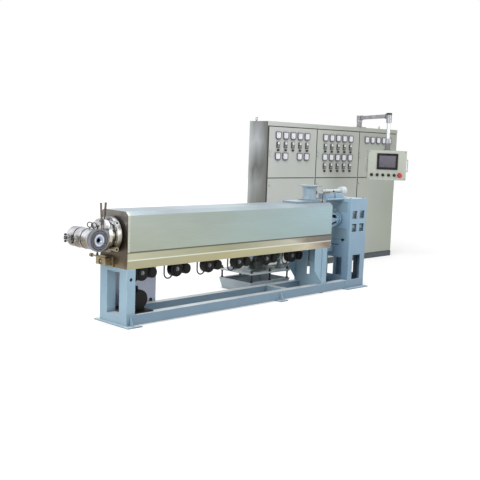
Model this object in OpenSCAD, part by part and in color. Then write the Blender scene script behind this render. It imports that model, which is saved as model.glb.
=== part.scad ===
// Single-screw plastic extruder with a crosshead die and its control cabinet.
// +X runs from the die to the gearbox, +Z is up, and the floor is Z = 0.
// The origin is the centre of the front foot's anchor holes, on the floor under the screw axis.
// Stations along the machine are measured from the die-side face of the front stand.

/* [Frame] */
// Height of the screw axis above the floor
axis_z = 1000; // [980:5:1040]
// Width of the welded frame over its side faces
frame_w = 490; // [460:5:540]
// Depth of the front stand along the machine
stand_d = 115; // [100:5:140]
// Width of each front stand post, seen from the die
stand_post_w = 132; // [110:2:150]
// Height of the sill under the front window
stand_sill_h = 97; // [70:1:130]
// Height of the bar over the front window
stand_head_h = 45; // [30:1:70]
// Wall of the frame's box sections
tube_t = 8; // [5:1:12]
// Thickness of the foot plates
foot_t = 15; // [10:1:25]
// Length of the front foot plate along the machine
foot_l = 200; // [190:5:240]
// How far the foot plates reach past the side faces
foot_side = 70; // [60:5:100]
// Radius of the anchor holes
anchor_r = 9; // [6:0.5:12]
// Distance of an anchor hole from the edge of its plate
anchor_edge = 30; // [22:1:34]
// Thickness of the gussets
gusset_t = 10; // [6:1:16]
// Height of the gussets on the feet
gusset_h = 100; // [60:5:140]
// Radius of the cable hole in the near post
post_hole_r = 20; // [10:1:30]
// Depth of that hole below the top of the post
post_hole_drop = 114; // [60:2:200]
// Length of the plate that closes the far side behind the front stand
side_plate_l = 730; // [400:10:900]
// Height of that plate's lower edge
side_plate_z = 90; // [60:5:110]
// Radius of the cable hole in that plate
side_hole_r = 24; // [12:1:40]

/* [Rails] */
// Height of the long floor rails
rail_h = 113; // [90:1:140]
// Width of the long floor rails
rail_w = 100; // [80:2:120]
// Distance of the middle foot from the gearbox end of the cover
mid_foot_back = 1010; // [900:10:1600]
// Length of the middle foot plates
mid_foot_l = 140; // [100:5:180]
// Distance of the cross tube from the gearbox end of the cover
cross_back = 870; // [710:10:900]
// Radius of the levelling pads under the feed posts
pad_r = 36; // [20:1:45]

/* [Feed stand] */
// Distance of the feed posts' die side from the gearbox end of the cover
feed_post_back = 174; // [130:2:310]
// Side of the square feed posts
feed_post = 102; // [80:2:110]
// Reach of the bracket plate in front of each feed post
haunch_l = 146; // [80:2:200]
// Height of the bracket plate's straight edge
haunch_h = 300; // [200:5:360]
// Thickness of the bracket plates and the cross panel
panel_t = 10; // [6:1:16]
// Width of the slot in the cross panel
panel_slot_w = 52; // [30:2:80]
// Height of the slot in the cross panel
panel_slot_h = 350; // [200:10:380]

/* [Barrel cover] */
// Length of the barrel cover
hood_l = 3510; // [3000:10:4000]
// Distance of the cover's underside below the screw axis
hood_drop = 365; // [340:5:380]
// Distance of the cover's shoulder above the screw axis
hood_rise = 215; // [200:5:240]
// Height of the bevel at the top of the cover
bevel_h = 40; // [20:2:60]
// Width of the bevel at the top of the cover
bevel_w = 46; // [20:2:80]
// Height of the lower tray of the cover
tray_h = 185; // [160:5:220]
// Height of the crease in the tray
crease_h = 95; // [60:5:120]
// How far the tray's lower edge draws in
tray_in = 7; // [3:1:12]
// Height of the groove between the cover and the tray
seam_h = 8; // [4:1:14]
// Lap of the tray's edge inside the cover
lap_h = 12; // [8:1:20]
// Thickness of the cover's sheet
sheet_t = 3; // [2:0.5:5]
// Thickness of the end plates
end_t = 4; // [3:0.5:8]
// Width of the edge trim at the die end
trim_w = 30; // [15:1:50]
// Radius of the barrel
barrel_r = 85; // [70:1:95]

/* [Blowers] */
// Station of the first blower
blower_x = 368; // [350:2:380]
// Distance of the last blower from the gearbox end of the cover
blower_back = 572; // [520:2:640]
// Radius of the blower casing
casing_r = 92; // [80:1:100]
// Width of the blower casing
casing_w = 76; // [60:2:90]
// Gap between the blower casings and the cover
blower_gap = 3; // [2:1:20]
// Radius of the blower motor
fan_motor_r = 60; // [45:1:64]
// Length of the blower motor
fan_motor_l = 120; // [90:2:150]
// Distance from the casing's axis to the blower motor's axis
fan_motor_x = 146; // [130:2:155]
// Side of the square air duct
duct = 70; // [50:2:84]
// Radius of the blower leads
lead_r = 6; // [3:0.5:7]
// Distance of a lead in front of its blower casing
lead_ahead = 72; // [60:2:80]
// Radius of a lead's bend
lead_bend = 62; // [56:1:66]

/* [Drive] */
// Distance of the motor base's die end from the gearbox stand
base_back = 1430; // [1400:5:1480]
// Length of the motor base
base_l = 800; // [780:5:820]
// Distance of the motor base's near edge from the screw axis
base_y = 300; // [280:5:340]
// Width of the motor base at its top
base_w = 630; // [600:5:680]
// Height of the motor base
base_h = 150; // [100:5:165]
// How far each side of the base draws in at the floor
base_taper = 75; // [30:5:120]
// Height of the slide plate's top face
slide_z = 276; // [260:2:300]
// Thickness of the slide plate
slide_t = 20; // [14:1:26]
// Radius of the adjusting studs
stud_r = 12; // [8:1:16]
// Height of the motor's shaft above the slide plate
motor_h = 270; // [255:5:290]
// Radius of the motor's frame over its fins
motor_r = 215; // [190:5:235]
// Length of the motor's finned frame
motor_l = 570; // [500:10:580]
// Number of cooling fins round the motor
fin_count = 32; // [20:2:40]
// Radius of the motor shaft
shaft_r = 26; // [18:1:34]
// Width of the belt guard
guard_w = 110; // [80:5:120]
// Radius of the belt guard at the motor
guard_r1 = 130; // [110:5:145]
// Radius of the belt guard at the gearbox
guard_r2 = 165; // [150:5:175]
// Distance of the gearbox input shaft below the screw axis
input_drop = 440; // [430:5:450]

/* [Gearbox] */
// Length of the lantern from the cover to the gearbox stand
lantern_l = 420; // [400:5:460]
// Length of the gearbox stand along the machine
gear_l = 390; // [360:5:440]
// Height of the gearbox stand above the screw axis
gear_rise = 300; // [280:5:320]
// Plate thickness of the gearbox stand
gear_t = 12; // [8:1:16]
// Side of the small windows in the stand's sides
window = 114; // [80:2:124]
// Width of the tall window in the stand's sides
tall_window_w = 190; // [120:5:240]
// Height of the tall window in the stand's sides
tall_window_h = 354; // [250:2:380]
// Width of the portal through the stand
portal_w = 260; // [180:5:300]
// Height of the portal through the stand
portal_h = 260; // [180:5:280]
// Radius of the lantern at the barrel
lantern_r1 = 190; // [180:2:200]
// Radius of the lantern at the gearbox
lantern_r2 = 86; // [80:1:100]
// Number of openings round the lantern
lantern_slots = 8; // [6:1:10]
// Gap between the gearbox case and the sides of its stand
case_gap = 18; // [10:1:40]
// Height of each cooling rib's groove in the gearbox case
case_groove = 60; // [30:2:80]

/* [Feed throat] */
// Distance of the feed throat's axis from the gearbox end of the cover
throat_back = 220; // [180:5:300]
// Reach of the seat plate in front of the throat's axis
seat_l = 410; // [150:10:450]
// Thickness of the seat plate
seat_t = 26; // [16:1:36]
// Height of the feed throat above the cover
throat_h = 235; // [180:5:260]
// Radius of the feed bore
throat_r = 55; // [40:1:65]
// Radius of the feed throat's waist
waist_r = 98; // [85:1:105]
// Side of the square hopper flange
hopper_flange = 250; // [225:5:280]
// Thickness of the hopper flange
hopper_flange_t = 14; // [8:1:20]
// Radius of the hopper bolt holes
hopper_hole_r = 7; // [4:0.5:9]
// Distance between hopper bolt holes
hopper_pitch = 200; // [190:2:204]

/* [Crosshead] */
// Distance of the crosshead's axis in front of the front stand
head_x = 470; // [440:5:500]
// Radius of the crosshead's body
head_r = 106; // [98:1:110]
// Radius of the crosshead's face flange
face_r = 117; // [114:1:124]
// Distance from the screw axis to the crosshead's near face
face_y = 405; // [380:5:430]
// Thickness of the face flange
face_t = 58; // [40:1:70]
// Reach of the crosshead past the screw axis
head_back = 40; // [20:5:120]
// Radius of the die bore
die_r = 20; // [12:1:26]
// Radius of the barrel's head flange
flange_r = 195; // [180:1:200]
// Thickness of the barrel's head flange
flange_t = 55; // [40:1:60]
// Radius of the adapter disc
disc_r = 175; // [150:1:185]
// Thickness of the adapter disc
disc_t = 38; // [25:1:45]
// Length of the clamp between the flange and the disc
clamp_l = 52; // [40:1:60]

/* [Cabinet] */
// Distance of the cabinet's left end from the gearbox stand's die side
cab_ahead = 60; // [-100:10:300]
// Distance of the door faces from the screw axis
cab_y = 1450; // [1450:10:1700]
// Width of one cabinet bay
bay_w = 1200; // [1100:10:1250]
// Depth of the cabinet
cab_d = 420; // [400:10:700]
// Height of the cabinet with its plinth
cab_h = 2400; // [2350:10:2500]
// Height of the plinth
plinth_h = 96; // [80:2:120]
// Height of the header over the doors
header_h = 70; // [50:2:90]
// Height of the joint between the lower and upper doors
split_z = 1508; // [1450:2:1512]
// Thickness of the doors
door_t = 20; // [18:1:30]
// Gap between doors
door_gap = 12; // [8:1:14]
// Sheet thickness of the cabinet
cab_t = 3; // [2:0.5:5]
// Width of the frame bars behind the doors
bar_w = 60; // [46:2:80]
// Side of a panel meter
meter = 126; // [96:2:130]
// Distance between instrument columns
meter_pitch = 178; // [160:2:185]
// Distance of the top row of meters below the cabinet's top
row_drop = 220; // [200:5:230]
// Distance between the two rows of meters
row_pitch = 330; // [320:2:345]
// Width of a controller
controller_w = 72; // [60:2:80]
// Height of a controller
controller_h = 96; // [80:2:100]
// Distance of a controller below its meter
controller_drop = 145; // [142:1:150]
// Distance of a selector below its meter
selector_drop = 226; // [222:1:232]
// Margin of the mounting plates inside each bay
plate_margin = 80; // [70:5:140]
// Margin of the mounting plates above the plinth and below the top
plate_margin_z = 150; // [100:10:300]

/* [Pendant] */
// Reach of the pendant arm
arm_l = 1190; // [1150:10:1250]
// Swing of the resting arm from straight out towards the die
arm_swing = 30; // [10:5:40]
// Radius of the arm's pipe and half the side of its square tube
arm_r = 30; // [24:1:34]
// Height of the arm above the cabinet
arm_rise = 175; // [150:5:220]
// Width of the operator panel
panel_w = 640; // [560:10:680]
// Height of the operator panel
panel_h = 490; // [460:5:510]
// Gap of the operator panel's lower edge over the joint of the doors
panel_lift = 8; // [6:1:40]
// Depth of the operator panel
panel_d = 130; // [100:5:150]
// Turn of the operator panel towards the die
panel_turn = 45; // [20:5:60]
// Height of the panel's grip handles
grip_h = 208; // [150:4:240]
// Reach of the grip handles from the panel
grip_reach = 36; // [30:1:50]
// Radius of the grip handles
grip_r = 9; // [7:0.5:10]

/* [Hidden] */
$fn = 64;
fit_gap = 0.3;
stand_front_x = 30 - foot_l / 2;
half_w = frame_w / 2;
gear_x = hood_l + lantern_l;
mid_foot_x = hood_l - mid_foot_back;
cross_x = hood_l - cross_back;
feed_post_x = hood_l - feed_post_back;
throat_x = hood_l - throat_back;
blower_pitch = (hood_l - blower_back - blower_x) / 5;
base_x = gear_x - base_back;
cab_x = gear_x + cab_ahead;
hood_z0 = axis_z - hood_drop;
hood_z1 = axis_z + hood_rise;
hood_top = hood_z1 + bevel_h;
tray_z = hood_z0 + tray_h;
lap_z = tray_z + lap_h;
rail_lift = foot_t;
rail_z = rail_lift + rail_h;
gear_top = axis_z + gear_rise;
gear_x1 = gear_x + gear_l;
blower_z = hood_z0 - casing_r - blower_gap;
blower_y = 0;
motor_z = slide_z + motor_h;
motor_y = base_y + base_w / 2;
motor_x = base_x + 60;
bell_l = 80;
input_z = axis_z - input_drop;
input_y = 90;
guard_x = hood_l + 20;
deck_x = hood_l + 50;
deck_w = 240;
shelf_z = axis_z - 345;
throat_z1 = hood_top + throat_h;
flange_x0 = -35 - flange_t;
disc_x0 = flange_x0 - clamp_l - disc_t;
front_z = plinth_h + 4;
door_z0 = plinth_h + door_gap;
door_z1 = split_z - door_gap / 2;
upper_z0 = split_z + door_gap / 2;
upper_z1 = cab_h - header_h - door_gap;
hinge_r = door_t / 2;
cab_l = 3 * bay_w;
arm_x = cab_x + 2 * bay_w + 150;
arm_y = cab_y + 130;
arm_z = cab_h + arm_rise;
panel_z = split_z + panel_lift;
panel_top = panel_z + panel_h;
hub_drop = 70;
pin_r = 20;
stem_h = 120;
blue = [0.58, 0.70, 0.77];
steel = [0.70, 0.70, 0.67];
black = [0.10, 0.10, 0.11];
grey = [0.70, 0.71, 0.67];

module on_line() {
    translate([stand_front_x, 0, 0]) children();
}

// A box from its lowest corner to its highest
module span(a, b) {
    translate(a) cube([b[0] - a[0], b[1] - a[1], b[2] - a[2]]);
}

// A cylinder along X from station x, at y and z
module rod_x(x, y, z, r, l, n = $fn) {
    translate([x, y, z]) rotate([0, 90, 0]) cylinder(r = r, h = l, $fn = n);
}

// A cylinder along Y from y
module rod_y(x, y, z, r, l, n = $fn) {
    translate([x, y, z]) rotate([-90, 0, 0]) cylinder(r = r, h = l, $fn = n);
}

// A cylinder along Z from z
module rod_z(x, y, z, r, l, n = $fn) {
    translate([x, y, z]) cylinder(r = r, h = l, $fn = n);
}

module both_sides() {
    children();
    mirror([0, 1, 0]) children();
}

// A square tube along X, open at both ends
module tube_x(x0, x1, y0, y1, z0, z1, t) {
    difference() {
        span([x0, y0, z0], [x1, y1, z1]);
        span([x0 - 1, y0 + t, z0 + t], [x1 + 1, y1 - t, z1 - t]);
    }
}

// A triangular plate standing on a foot against the near side face
module side_gusset(x, z, reach, h) {
    translate([x + gusset_t / 2, -half_w, z]) rotate([0, -90, 0]) linear_extrude(gusset_t)
        polygon([[0, 0], [h, 0], [0, -reach]]);
}

module front_stand() {
    color(blue) on_line() {
        difference() {
            span([0, -half_w, foot_t], [stand_d, half_w, hood_z0]);
            span([-1, stand_post_w - half_w, foot_t + stand_sill_h],
                [stand_d + 1, half_w - stand_post_w, hood_z0 - stand_head_h]);
            both_sides() span([tube_t, tube_t - half_w, foot_t - 1],
                [stand_d - tube_t, stand_post_w - half_w - tube_t, hood_z0 - tube_t]);
            rod_y(stand_d / 2, -half_w - 1, hood_z0 - post_hole_drop, post_hole_r, tube_t + 2);
        }
        both_sides() side_gusset(stand_d / 2, foot_t, foot_side - 8, gusset_h);
    }
}

module foot_plate(x0, x1, w) {
    difference() {
        span([x0, -w, 0], [x1, w, foot_t]);
        for (x = [x0 + anchor_edge, x1 - anchor_edge], y = [anchor_edge - w, w - anchor_edge])
            rod_z(x, y, -1, anchor_r, foot_t + 2);
    }
}

module front_foot() {
    color(blue) on_line() foot_plate(-30, foot_l - 30, half_w + foot_side);
}

module side_plate() {
    x0 = stand_d / 2 + gusset_t;
    color(blue) on_line() difference() {
        span([x0, half_w, side_plate_z], [x0 + side_plate_l, half_w + panel_t, hood_z0]);
        rod_y(x0 + side_plate_l - 73, half_w - 1, side_plate_z + 57, side_hole_r, panel_t + 2);
    }
}

module rail() {
    tube_x(stand_d, gear_x, -half_w, rail_w - half_w, rail_lift, rail_z, tube_t);
}

module rail_near() {
    color(blue) on_line() rail();
}

module rail_far() {
    color(blue) on_line() mirror([0, 1, 0]) rail();
}

module cross_tube(x, w) {
    difference() {
        span([x, rail_w - half_w, rail_lift], [x + w, half_w - rail_w, rail_z]);
        span([x + tube_t, rail_w - half_w - 1, rail_lift + tube_t],
            [x + w - tube_t, half_w - rail_w + 1, rail_z - tube_t]);
    }
}

module cross_tubes() {
    color(blue) on_line() {
        cross_tube(cross_x, rail_w);
        cross_tube(feed_post_x, feed_post);
    }
}

module rail_feet() {
    color(blue) on_line() both_sides() {
        difference() {
            span([mid_foot_x - mid_foot_l / 2, -half_w - foot_side, 0],
                [mid_foot_x + mid_foot_l / 2, rail_w - half_w, rail_lift]);
            for (x = [-1, 1])
                rod_z(mid_foot_x + x * (mid_foot_l / 2 - anchor_edge), anchor_edge - half_w - foot_side,
                    -1, anchor_r, rail_lift + 2);
        }
        side_gusset(mid_foot_x, rail_lift, foot_side - 8, rail_h - 15);
        rod_z(feed_post_x + feed_post / 2, rail_w / 2 - half_w, 0, pad_r, rail_lift);
    }
}

module feed_stand() {
    panel_y = half_w - feed_post;
    color(blue) on_line() {
        both_sides() {
            span([feed_post_x, -half_w, rail_z], [feed_post_x + feed_post, feed_post - half_w, hood_z0]);
            translate([0, panel_t - half_w + tube_t, 0]) rotate([90, 0, 0]) linear_extrude(panel_t)
                polygon([[feed_post_x, hood_z0], [feed_post_x - haunch_l, hood_z0],
                    [feed_post_x - haunch_l, hood_z0 - haunch_h], [feed_post_x, rail_z + 30]]);
        }
        difference() {
            span([feed_post_x, -panel_y, rail_z], [feed_post_x + panel_t, panel_y, hood_z0]);
            span([feed_post_x - 1, -panel_slot_w / 2, hood_z0 - 40 - panel_slot_h],
                [feed_post_x + panel_t + 1, panel_slot_w / 2, hood_z0 - 40]);
        }
    }
}

// Outline of the cover, drawn in at every side by t
function cover_outline(z0, t) = [[t - half_w, z0], [half_w - t, z0], [half_w - t, hood_z1 - 0.4 * t],
    [half_w - bevel_w - 0.6 * t, hood_top - t], [bevel_w + 0.6 * t - half_w, hood_top - t],
    [t - half_w, hood_z1 - 0.4 * t]];

// Outline of the tray, drawn in at every side by t, with a groove under the cover's edge
function tray_side(z1, t) = [[half_w - tray_in - t, hood_z0 + t], [half_w - t, hood_z0 + crease_h],
    [half_w - t, tray_z - seam_h - t], [half_w - sheet_t - t, tray_z - seam_h - t], [half_w - sheet_t - t, z1]];
function tray_outline(z1, t) = concat(tray_side(z1, t), [for (i = [4 : -1 : 0])
    [-tray_side(z1, t)[i][0], tray_side(z1, t)[i][1]]]);

// Turns a drawing of Y and Z into a plate of thickness l along X from station x
module along_x(x, l) {
    translate([x, 0, 0]) rotate([90, 0, 90]) linear_extrude(l) children();
}

module hood_cover() {
    color(steel) on_line() difference() {
        along_x(end_t, hood_l - 2 * end_t) polygon(cover_outline(tray_z, 0));
        along_x(end_t - 1, hood_l - 2 * end_t + 2) polygon(cover_outline(tray_z - 1, sheet_t));
        rod_z(throat_x, 0, hood_top - sheet_t - 1, waist_r - 20 + fit_gap, sheet_t + 2);
    }
}

module hood_tray() {
    color(steel) on_line() difference() {
        along_x(end_t, hood_l - 2 * end_t) polygon(tray_outline(lap_z, 0));
        along_x(end_t - 1, hood_l - 2 * end_t + 2) polygon(tray_outline(lap_z + 1, sheet_t));
        for (i = [0 : 5])
            span([blower_x + i * blower_pitch - duct / 2 - fit_gap, blower_y - duct / 2 - fit_gap, hood_z0 - 1],
                [blower_x + i * blower_pitch + duct / 2 + fit_gap, blower_y + duct / 2 + fit_gap,
                    hood_z0 + sheet_t + 1]);
    }
}

module hood_end(x) {
    difference() {
        union() {
            along_x(x, end_t) polygon(cover_outline(tray_z, 0));
            along_x(x, end_t) polygon(tray_outline(lap_z, 0));
        }
        rod_x(x - 1, 0, axis_z, barrel_r + fit_gap, end_t + 2);
    }
}

module hood_end_front() {
    color([0.52, 0.48, 0.42]) on_line() hood_end(0);
}

module hood_end_rear() {
    color(steel) on_line() hood_end(hood_l - end_t);
}

// Edge trim that wraps the cover at the die end
module hood_trim() {
    trim_t = 2;
    color([0.85, 0.87, 0.83]) on_line() difference() {
        along_x(end_t, trim_w) offset_outline(trim_t);
        along_x(end_t - 1, trim_w + 2) offset_outline(0);
        span([0, -half_w - 10, 0], [end_t + trim_w + 1, half_w + 10, tray_z]);
    }
}

module offset_outline(t) {
    polygon([[-half_w - t, tray_z - 10], [half_w + t, tray_z - 10], [half_w + t, hood_z1 + 0.4 * t],
        [half_w - bevel_w + 0.6 * t, hood_top + t], [bevel_w - 0.6 * t - half_w, hood_top + t],
        [-half_w - t, hood_z1 + 0.4 * t]]);
}

module barrel() {
    color([0.45, 0.45, 0.46]) on_line() rod_x(flange_x0 + flange_t, 0, axis_z, barrel_r,
        hood_l - flange_x0 - flange_t);
}

module screw_shank() {
    color([0.60, 0.60, 0.60]) on_line() rod_x(hood_l, 0, axis_z, 34, gear_x + gear_t - hood_l);
}

module blower(i) {
    x = blower_x + i * blower_pitch;
    y0 = blower_y - casing_w / 2;
    color(black) on_line() {
        rod_y(x, y0, blower_z, casing_r, casing_w);
        rod_y(x, y0 - 8, blower_z, casing_r * 0.62, 10);
        rod_y(x, y0 - 20, blower_z, 13, 14, 6);
        span([x - duct / 2, blower_y - duct / 2, blower_z], [x + duct / 2, blower_y + duct / 2, hood_z0 + 24]);
        span([x - duct / 2 - 14, blower_y - duct / 2 - 12, hood_z0 - 6],
            [x + duct / 2 + 14, blower_y + duct / 2 + 12, hood_z0]);
        rod_y(x + fan_motor_x, blower_y - fan_motor_l / 2 + 12, blower_z - 8, fan_motor_r, fan_motor_l);
        rod_y(x + fan_motor_x, blower_y - fan_motor_l / 2 + 4, blower_z - 8, fan_motor_r * 0.8, 12);
        span([x, blower_y - casing_w / 2 + 10, blower_z - 34],
            [x + fan_motor_x, blower_y + casing_w / 2 - 10, blower_z + 30]);
    }
}

module blower_1() { blower(0); }
module blower_2() { blower(1); }
module blower_3() { blower(2); }
module blower_4() { blower(3); }
module blower_5() { blower(4); }
module blower_6() { blower(5); }

// One slack lead from the tray down and up to the side of a blower casing
module blower_lead(i) {
    x = blower_x + i * blower_pitch - casing_r - lead_ahead;
    z = blower_z - 44;
    difference() {
        union() {
            rod_z(x, blower_y, z, lead_r, hood_z0 - z, 24);
            translate([x + lead_bend, blower_y, z]) rotate([-90, 0, 0])
                rotate_extrude(angle = 150, start = 30) translate([lead_bend, 0]) circle(r = lead_r, $fn = 24);
        }
        rod_y(blower_x + i * blower_pitch, blower_y - casing_w, blower_z, casing_r + fit_gap, 2 * casing_w);
    }
}

module blower_leads() {
    color([0.25, 0.25, 0.26]) on_line() for (i = [0 : 5]) blower_lead(i);
}

// Vacuum pump on a plate across the rails, behind the front stand
module stand_pump() {
    plate_z = rail_z + 12;
    pump_x = stand_d + 190;
    pump_r = 100;
    pump_z = plate_z + pump_r + 12;
    color(black) on_line() {
        span([stand_d + 40, 40 - half_w, rail_z], [pump_x + pump_r, half_w - 40, plate_z]);
        rod_y(pump_x, -90, pump_z, pump_r, 180);
        for (y = [-84 : 18 : 78])
            rod_y(pump_x, y, pump_z, pump_r + 8, 7);
        span([pump_x - 70, -80, plate_z], [pump_x + 70, 80, pump_z - 60]);
        rod_z(pump_x, 0, pump_z + 80, 30, 60);
    }
}

module motor_base() {
    lip = 55;
    lip_t = 12;
    w = base_w / 2;
    color(blue) on_line() translate([0, motor_y, 0]) {
        difference() {
            along_x(base_x, base_l) polygon([[base_taper - w, 0], [w - base_taper, 0], [w, base_h], [-w, base_h]]);
            along_x(base_x + gusset_t, base_l - 2 * gusset_t) polygon([[base_taper + gusset_t - w, -1],
                [w - base_taper - gusset_t, -1], [w - gusset_t, base_h + 1], [gusset_t - w, base_h + 1]]);
        }
        both_sides() span([base_x + 1, gusset_t - w - 2, base_h - lip_t], [base_x + base_l - 1, lip - w, base_h]);
    }
}

function stud_places() = [for (i = [0 : 2], s = [-1, 1])
    [base_x + 34 + i * (base_l - 68) / 2, motor_y + s * (base_w / 2 - 28)]];

module motor_slide_plate() {
    color([0.80, 0.82, 0.80]) on_line() difference() {
        span([base_x, base_y, slide_z - slide_t], [base_x + base_l, base_y + base_w, slide_z]);
        for (p = stud_places())
            rod_z(p[0], p[1], slide_z - slide_t - 1, stud_r + fit_gap, slide_t + 2);
    }
}

module motor_studs() {
    nut_h = 14;
    color(black) on_line() for (p = stud_places()) {
        rod_z(p[0], p[1], base_h, stud_r, slide_z + 40 - base_h);
        for (z = [base_h, slide_z - slide_t - nut_h, slide_z])
            rod_z(p[0], p[1], z, stud_r * 1.7, nut_h, 6);
    }
}

module motor_frame() {
    core_r = motor_r - 26;
    color([0.55, 0.62, 0.58]) on_line() translate([motor_x + bell_l, motor_y, motor_z]) {
        rod_x(0, 0, 0, core_r, motor_l);
        for (i = [0 : fin_count - 1])
            rotate([i * 360 / fin_count, 0, 0]) span([14, -3, core_r - 5], [motor_l - 14, 3, motor_r]);
    }
}

// End bells, feet and shaft of the drive motor
module motor_bells() {
    color(blue) on_line() translate([motor_x, motor_y, motor_z]) {
        for (x = [0, bell_l + motor_l])
            rod_x(x, 0, 0, motor_r - 4, bell_l);
        rod_x(-30, 0, 0, motor_r * 0.55, 31);
        for (x = [0, bell_l + motor_l], s = [-1, 1])
            span([x, s * (motor_r - 60) - 50, -motor_h], [x + bell_l, s * (motor_r - 60) + 50, -motor_h + 30]);
        for (x = [bell_l / 2, bell_l * 1.5 + motor_l], s = [-1, 1])
            span([x - 12, s * (motor_r - 80) - 26, -motor_h + 1], [x + 12, s * (motor_r - 80) + 26, -motor_r * 0.5]);
        rod_x(2 * bell_l + motor_l, 0, 0, shaft_r, guard_x - motor_x - 2 * bell_l - motor_l);
    }
}

module motor_terminal_box() {
    box_x = motor_x + bell_l + 20;
    color([0.20, 0.28, 0.24]) on_line() difference() {
        span([box_x, motor_y - motor_r - 34, slide_z + 40], [box_x + 145, motor_y - motor_r * 0.5, slide_z + 140]);
        rod_x(box_x - 1, motor_y, motor_z, motor_r + fit_gap, 150);
    }
}

// Guard round both belt wheels, and the boss of the gearbox's input shaft
module belt_guard() {
    color(blue) on_line() {
        along_x(guard_x, guard_w) hull() {
            translate([input_y, input_z]) circle(r = guard_r2);
            translate([motor_y, motor_z]) circle(r = guard_r1);
        }
        rod_x(guard_x + guard_w - 1, input_y, input_z, 56, gear_x - guard_x - guard_w + 1);
        rod_x(gear_x - 18, input_y, input_z, 62, 18);
    }
}

module lantern() {
    neck_x = gear_x - 46;
    turn = 360 / lantern_slots;
    color(blue) on_line() translate([0, 0, axis_z]) {
        difference() {
            rotate([0, 90, 0]) rotate_extrude() polygon([[60, hood_l], [lantern_r1 + 14, hood_l],
                [lantern_r1 + 14, hood_l + 18], [lantern_r1, hood_l + 18], [lantern_r2, neck_x],
                [lantern_r2 + 16, neck_x], [lantern_r2 + 16, neck_x + 24], [lantern_r2 - 10, neck_x + 24],
                [lantern_r2 - 10, gear_x + gear_t], [60, gear_x + gear_t], [60, neck_x],
                [lantern_r2 - 16, neck_x], [lantern_r1 - 16, hood_l + 18], [60, hood_l + 18]]);
            for (i = [0 : lantern_slots - 1])
                rotate([(i + 0.5) * turn, 0, 0]) span([hood_l + 60, -26, 20], [neck_x - 80, 26, lantern_r1 + 60]);
        }
        for (i = [0 : lantern_slots - 1])
            rotate([i * turn, 0, 0]) translate([0, 4, 0]) rotate([90, 0, 0]) linear_extrude(8)
                polygon([[hood_l + 17, lantern_r1 - 8], [hood_l + 17, lantern_r1 + 12],
                    [neck_x + 1, lantern_r2 + 12], [neck_x + 1, lantern_r2 - 8]]);
        translate([neck_x + 6, -6, lantern_r2 + 8]) difference() {
            rod_y(6, 0, 24, 22, 12);
            rod_y(6, -1, 28, 9, 14);
        }
    }
}

module gear_side_windows() {
    col = [gear_x + gear_l * 0.5 - 30 - window, gear_x + gear_l * 0.5 + 30];
    for (x = col, z = [axis_z + 12, axis_z - 175])
        span([x, -half_w - 1, z], [x + window, half_w + 1, z + window]);
    span([gear_x + (gear_l - tall_window_w) / 2, -half_w - 1, 132],
        [gear_x + (gear_l + tall_window_w) / 2, half_w + 1, 132 + tall_window_h]);
}

module gearbox_stand() {
    window_y = half_w - 50;
    color(blue) on_line() {
        difference() {
            span([gear_x, -half_w, foot_t], [gear_x1, half_w, gear_top]);
            span([gear_x + gear_t, gear_t - half_w, shelf_z], [gear_x1 - gear_t, half_w - gear_t, gear_top - 15]);
            span([gear_x + gear_t, gear_t - half_w, foot_t - 1],
                [gear_x1 - gear_t, half_w - gear_t, shelf_z - gear_t]);
            gear_side_windows();
            span([gear_x - 1, -window_y, axis_z + lantern_r2 + 14],
                [gear_x + gear_t + 1, window_y, gear_top - 48]);
            span([gear_x - 1, -window_y, axis_z - 312], [gear_x + gear_t + 1, window_y, axis_z - 132]);
            span([gear_x - 1, -56, shelf_z - 38], [gear_x + gear_t + 1, 68, shelf_z - 22]);
            span([gear_x - 1, -portal_w / 2, 185], [gear_x1 + 1, portal_w / 2, 185 + portal_h]);
            rod_x(gear_x - 1, 0, axis_z, lantern_r2 - 10 + fit_gap, gear_t + 2);
        }
        span([deck_x, -deck_w / 2, gear_top - 15], [gear_x, deck_w / 2, gear_top]);
    }
}

module gearbox_case() {
    x0 = gear_x + gear_t;
    x1 = gear_x1 - gear_t - case_gap;
    side_y = half_w - gear_t - case_gap;
    case_z1 = gear_top - 15 - 2 * case_gap;
    color([0.42, 0.50, 0.56]) on_line() {
        difference() {
            span([x0, -side_y, shelf_z], [x1, side_y, case_z1]);
            for (i = [0 : 4])
                span([x0 + case_gap, -side_y - 1, shelf_z + case_groove * (0.8 + 1.8 * i)],
                    [x1 - case_gap, case_gap - side_y, shelf_z + case_groove * (1.8 + 1.8 * i)]);
        }
    }
}

module gearbox_foot() {
    color(blue) on_line() foot_plate(gear_x - 55, gear_x1 + 45, half_w + foot_side - 10);
}

module feed_throat() {
    seat = hood_top + seat_t;
    color(steel) on_line() translate([throat_x, 0, 0]) difference() {
        union() {
            span([-seat_l, -hopper_flange / 2, hood_top], [hopper_flange / 2, hopper_flange / 2, seat]);
            span([-waist_r - 12, -waist_r - 12, seat - 1], [waist_r + 12, waist_r + 12, seat + 14]);
            rotate_extrude() polygon([[0, seat], [waist_r + 8, seat], [waist_r + 8, seat + 20],
                [waist_r - 4, seat + 44], [waist_r - 4, throat_z1 - 50], [waist_r + 12, throat_z1 - 10],
                [0, throat_z1 - 10]]);
            span([-hopper_flange / 2, -hopper_flange / 2, throat_z1 - hopper_flange_t],
                [hopper_flange / 2, hopper_flange / 2, throat_z1]);
            rod_x(0, 0, seat + 106, 26, waist_r + 46);
            rod_x(waist_r + 24, 0, seat + 106, 36, 12);
            rod_z(0, 0, axis_z + barrel_r + fit_gap, waist_r - 20, hood_top - axis_z);
        }
        rod_z(0, 0, hood_top, throat_r, throat_h + 1);
        rod_z(0, 0, axis_z + barrel_r - 5, throat_r - 4, throat_z1);
        for (x = [-1, 1], y = [-1, 1])
            rod_z(x * hopper_pitch / 2, y * hopper_pitch / 2, throat_z1 - hopper_flange_t - 1,
                hopper_hole_r, hopper_flange_t + 2);
    }
}

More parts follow.
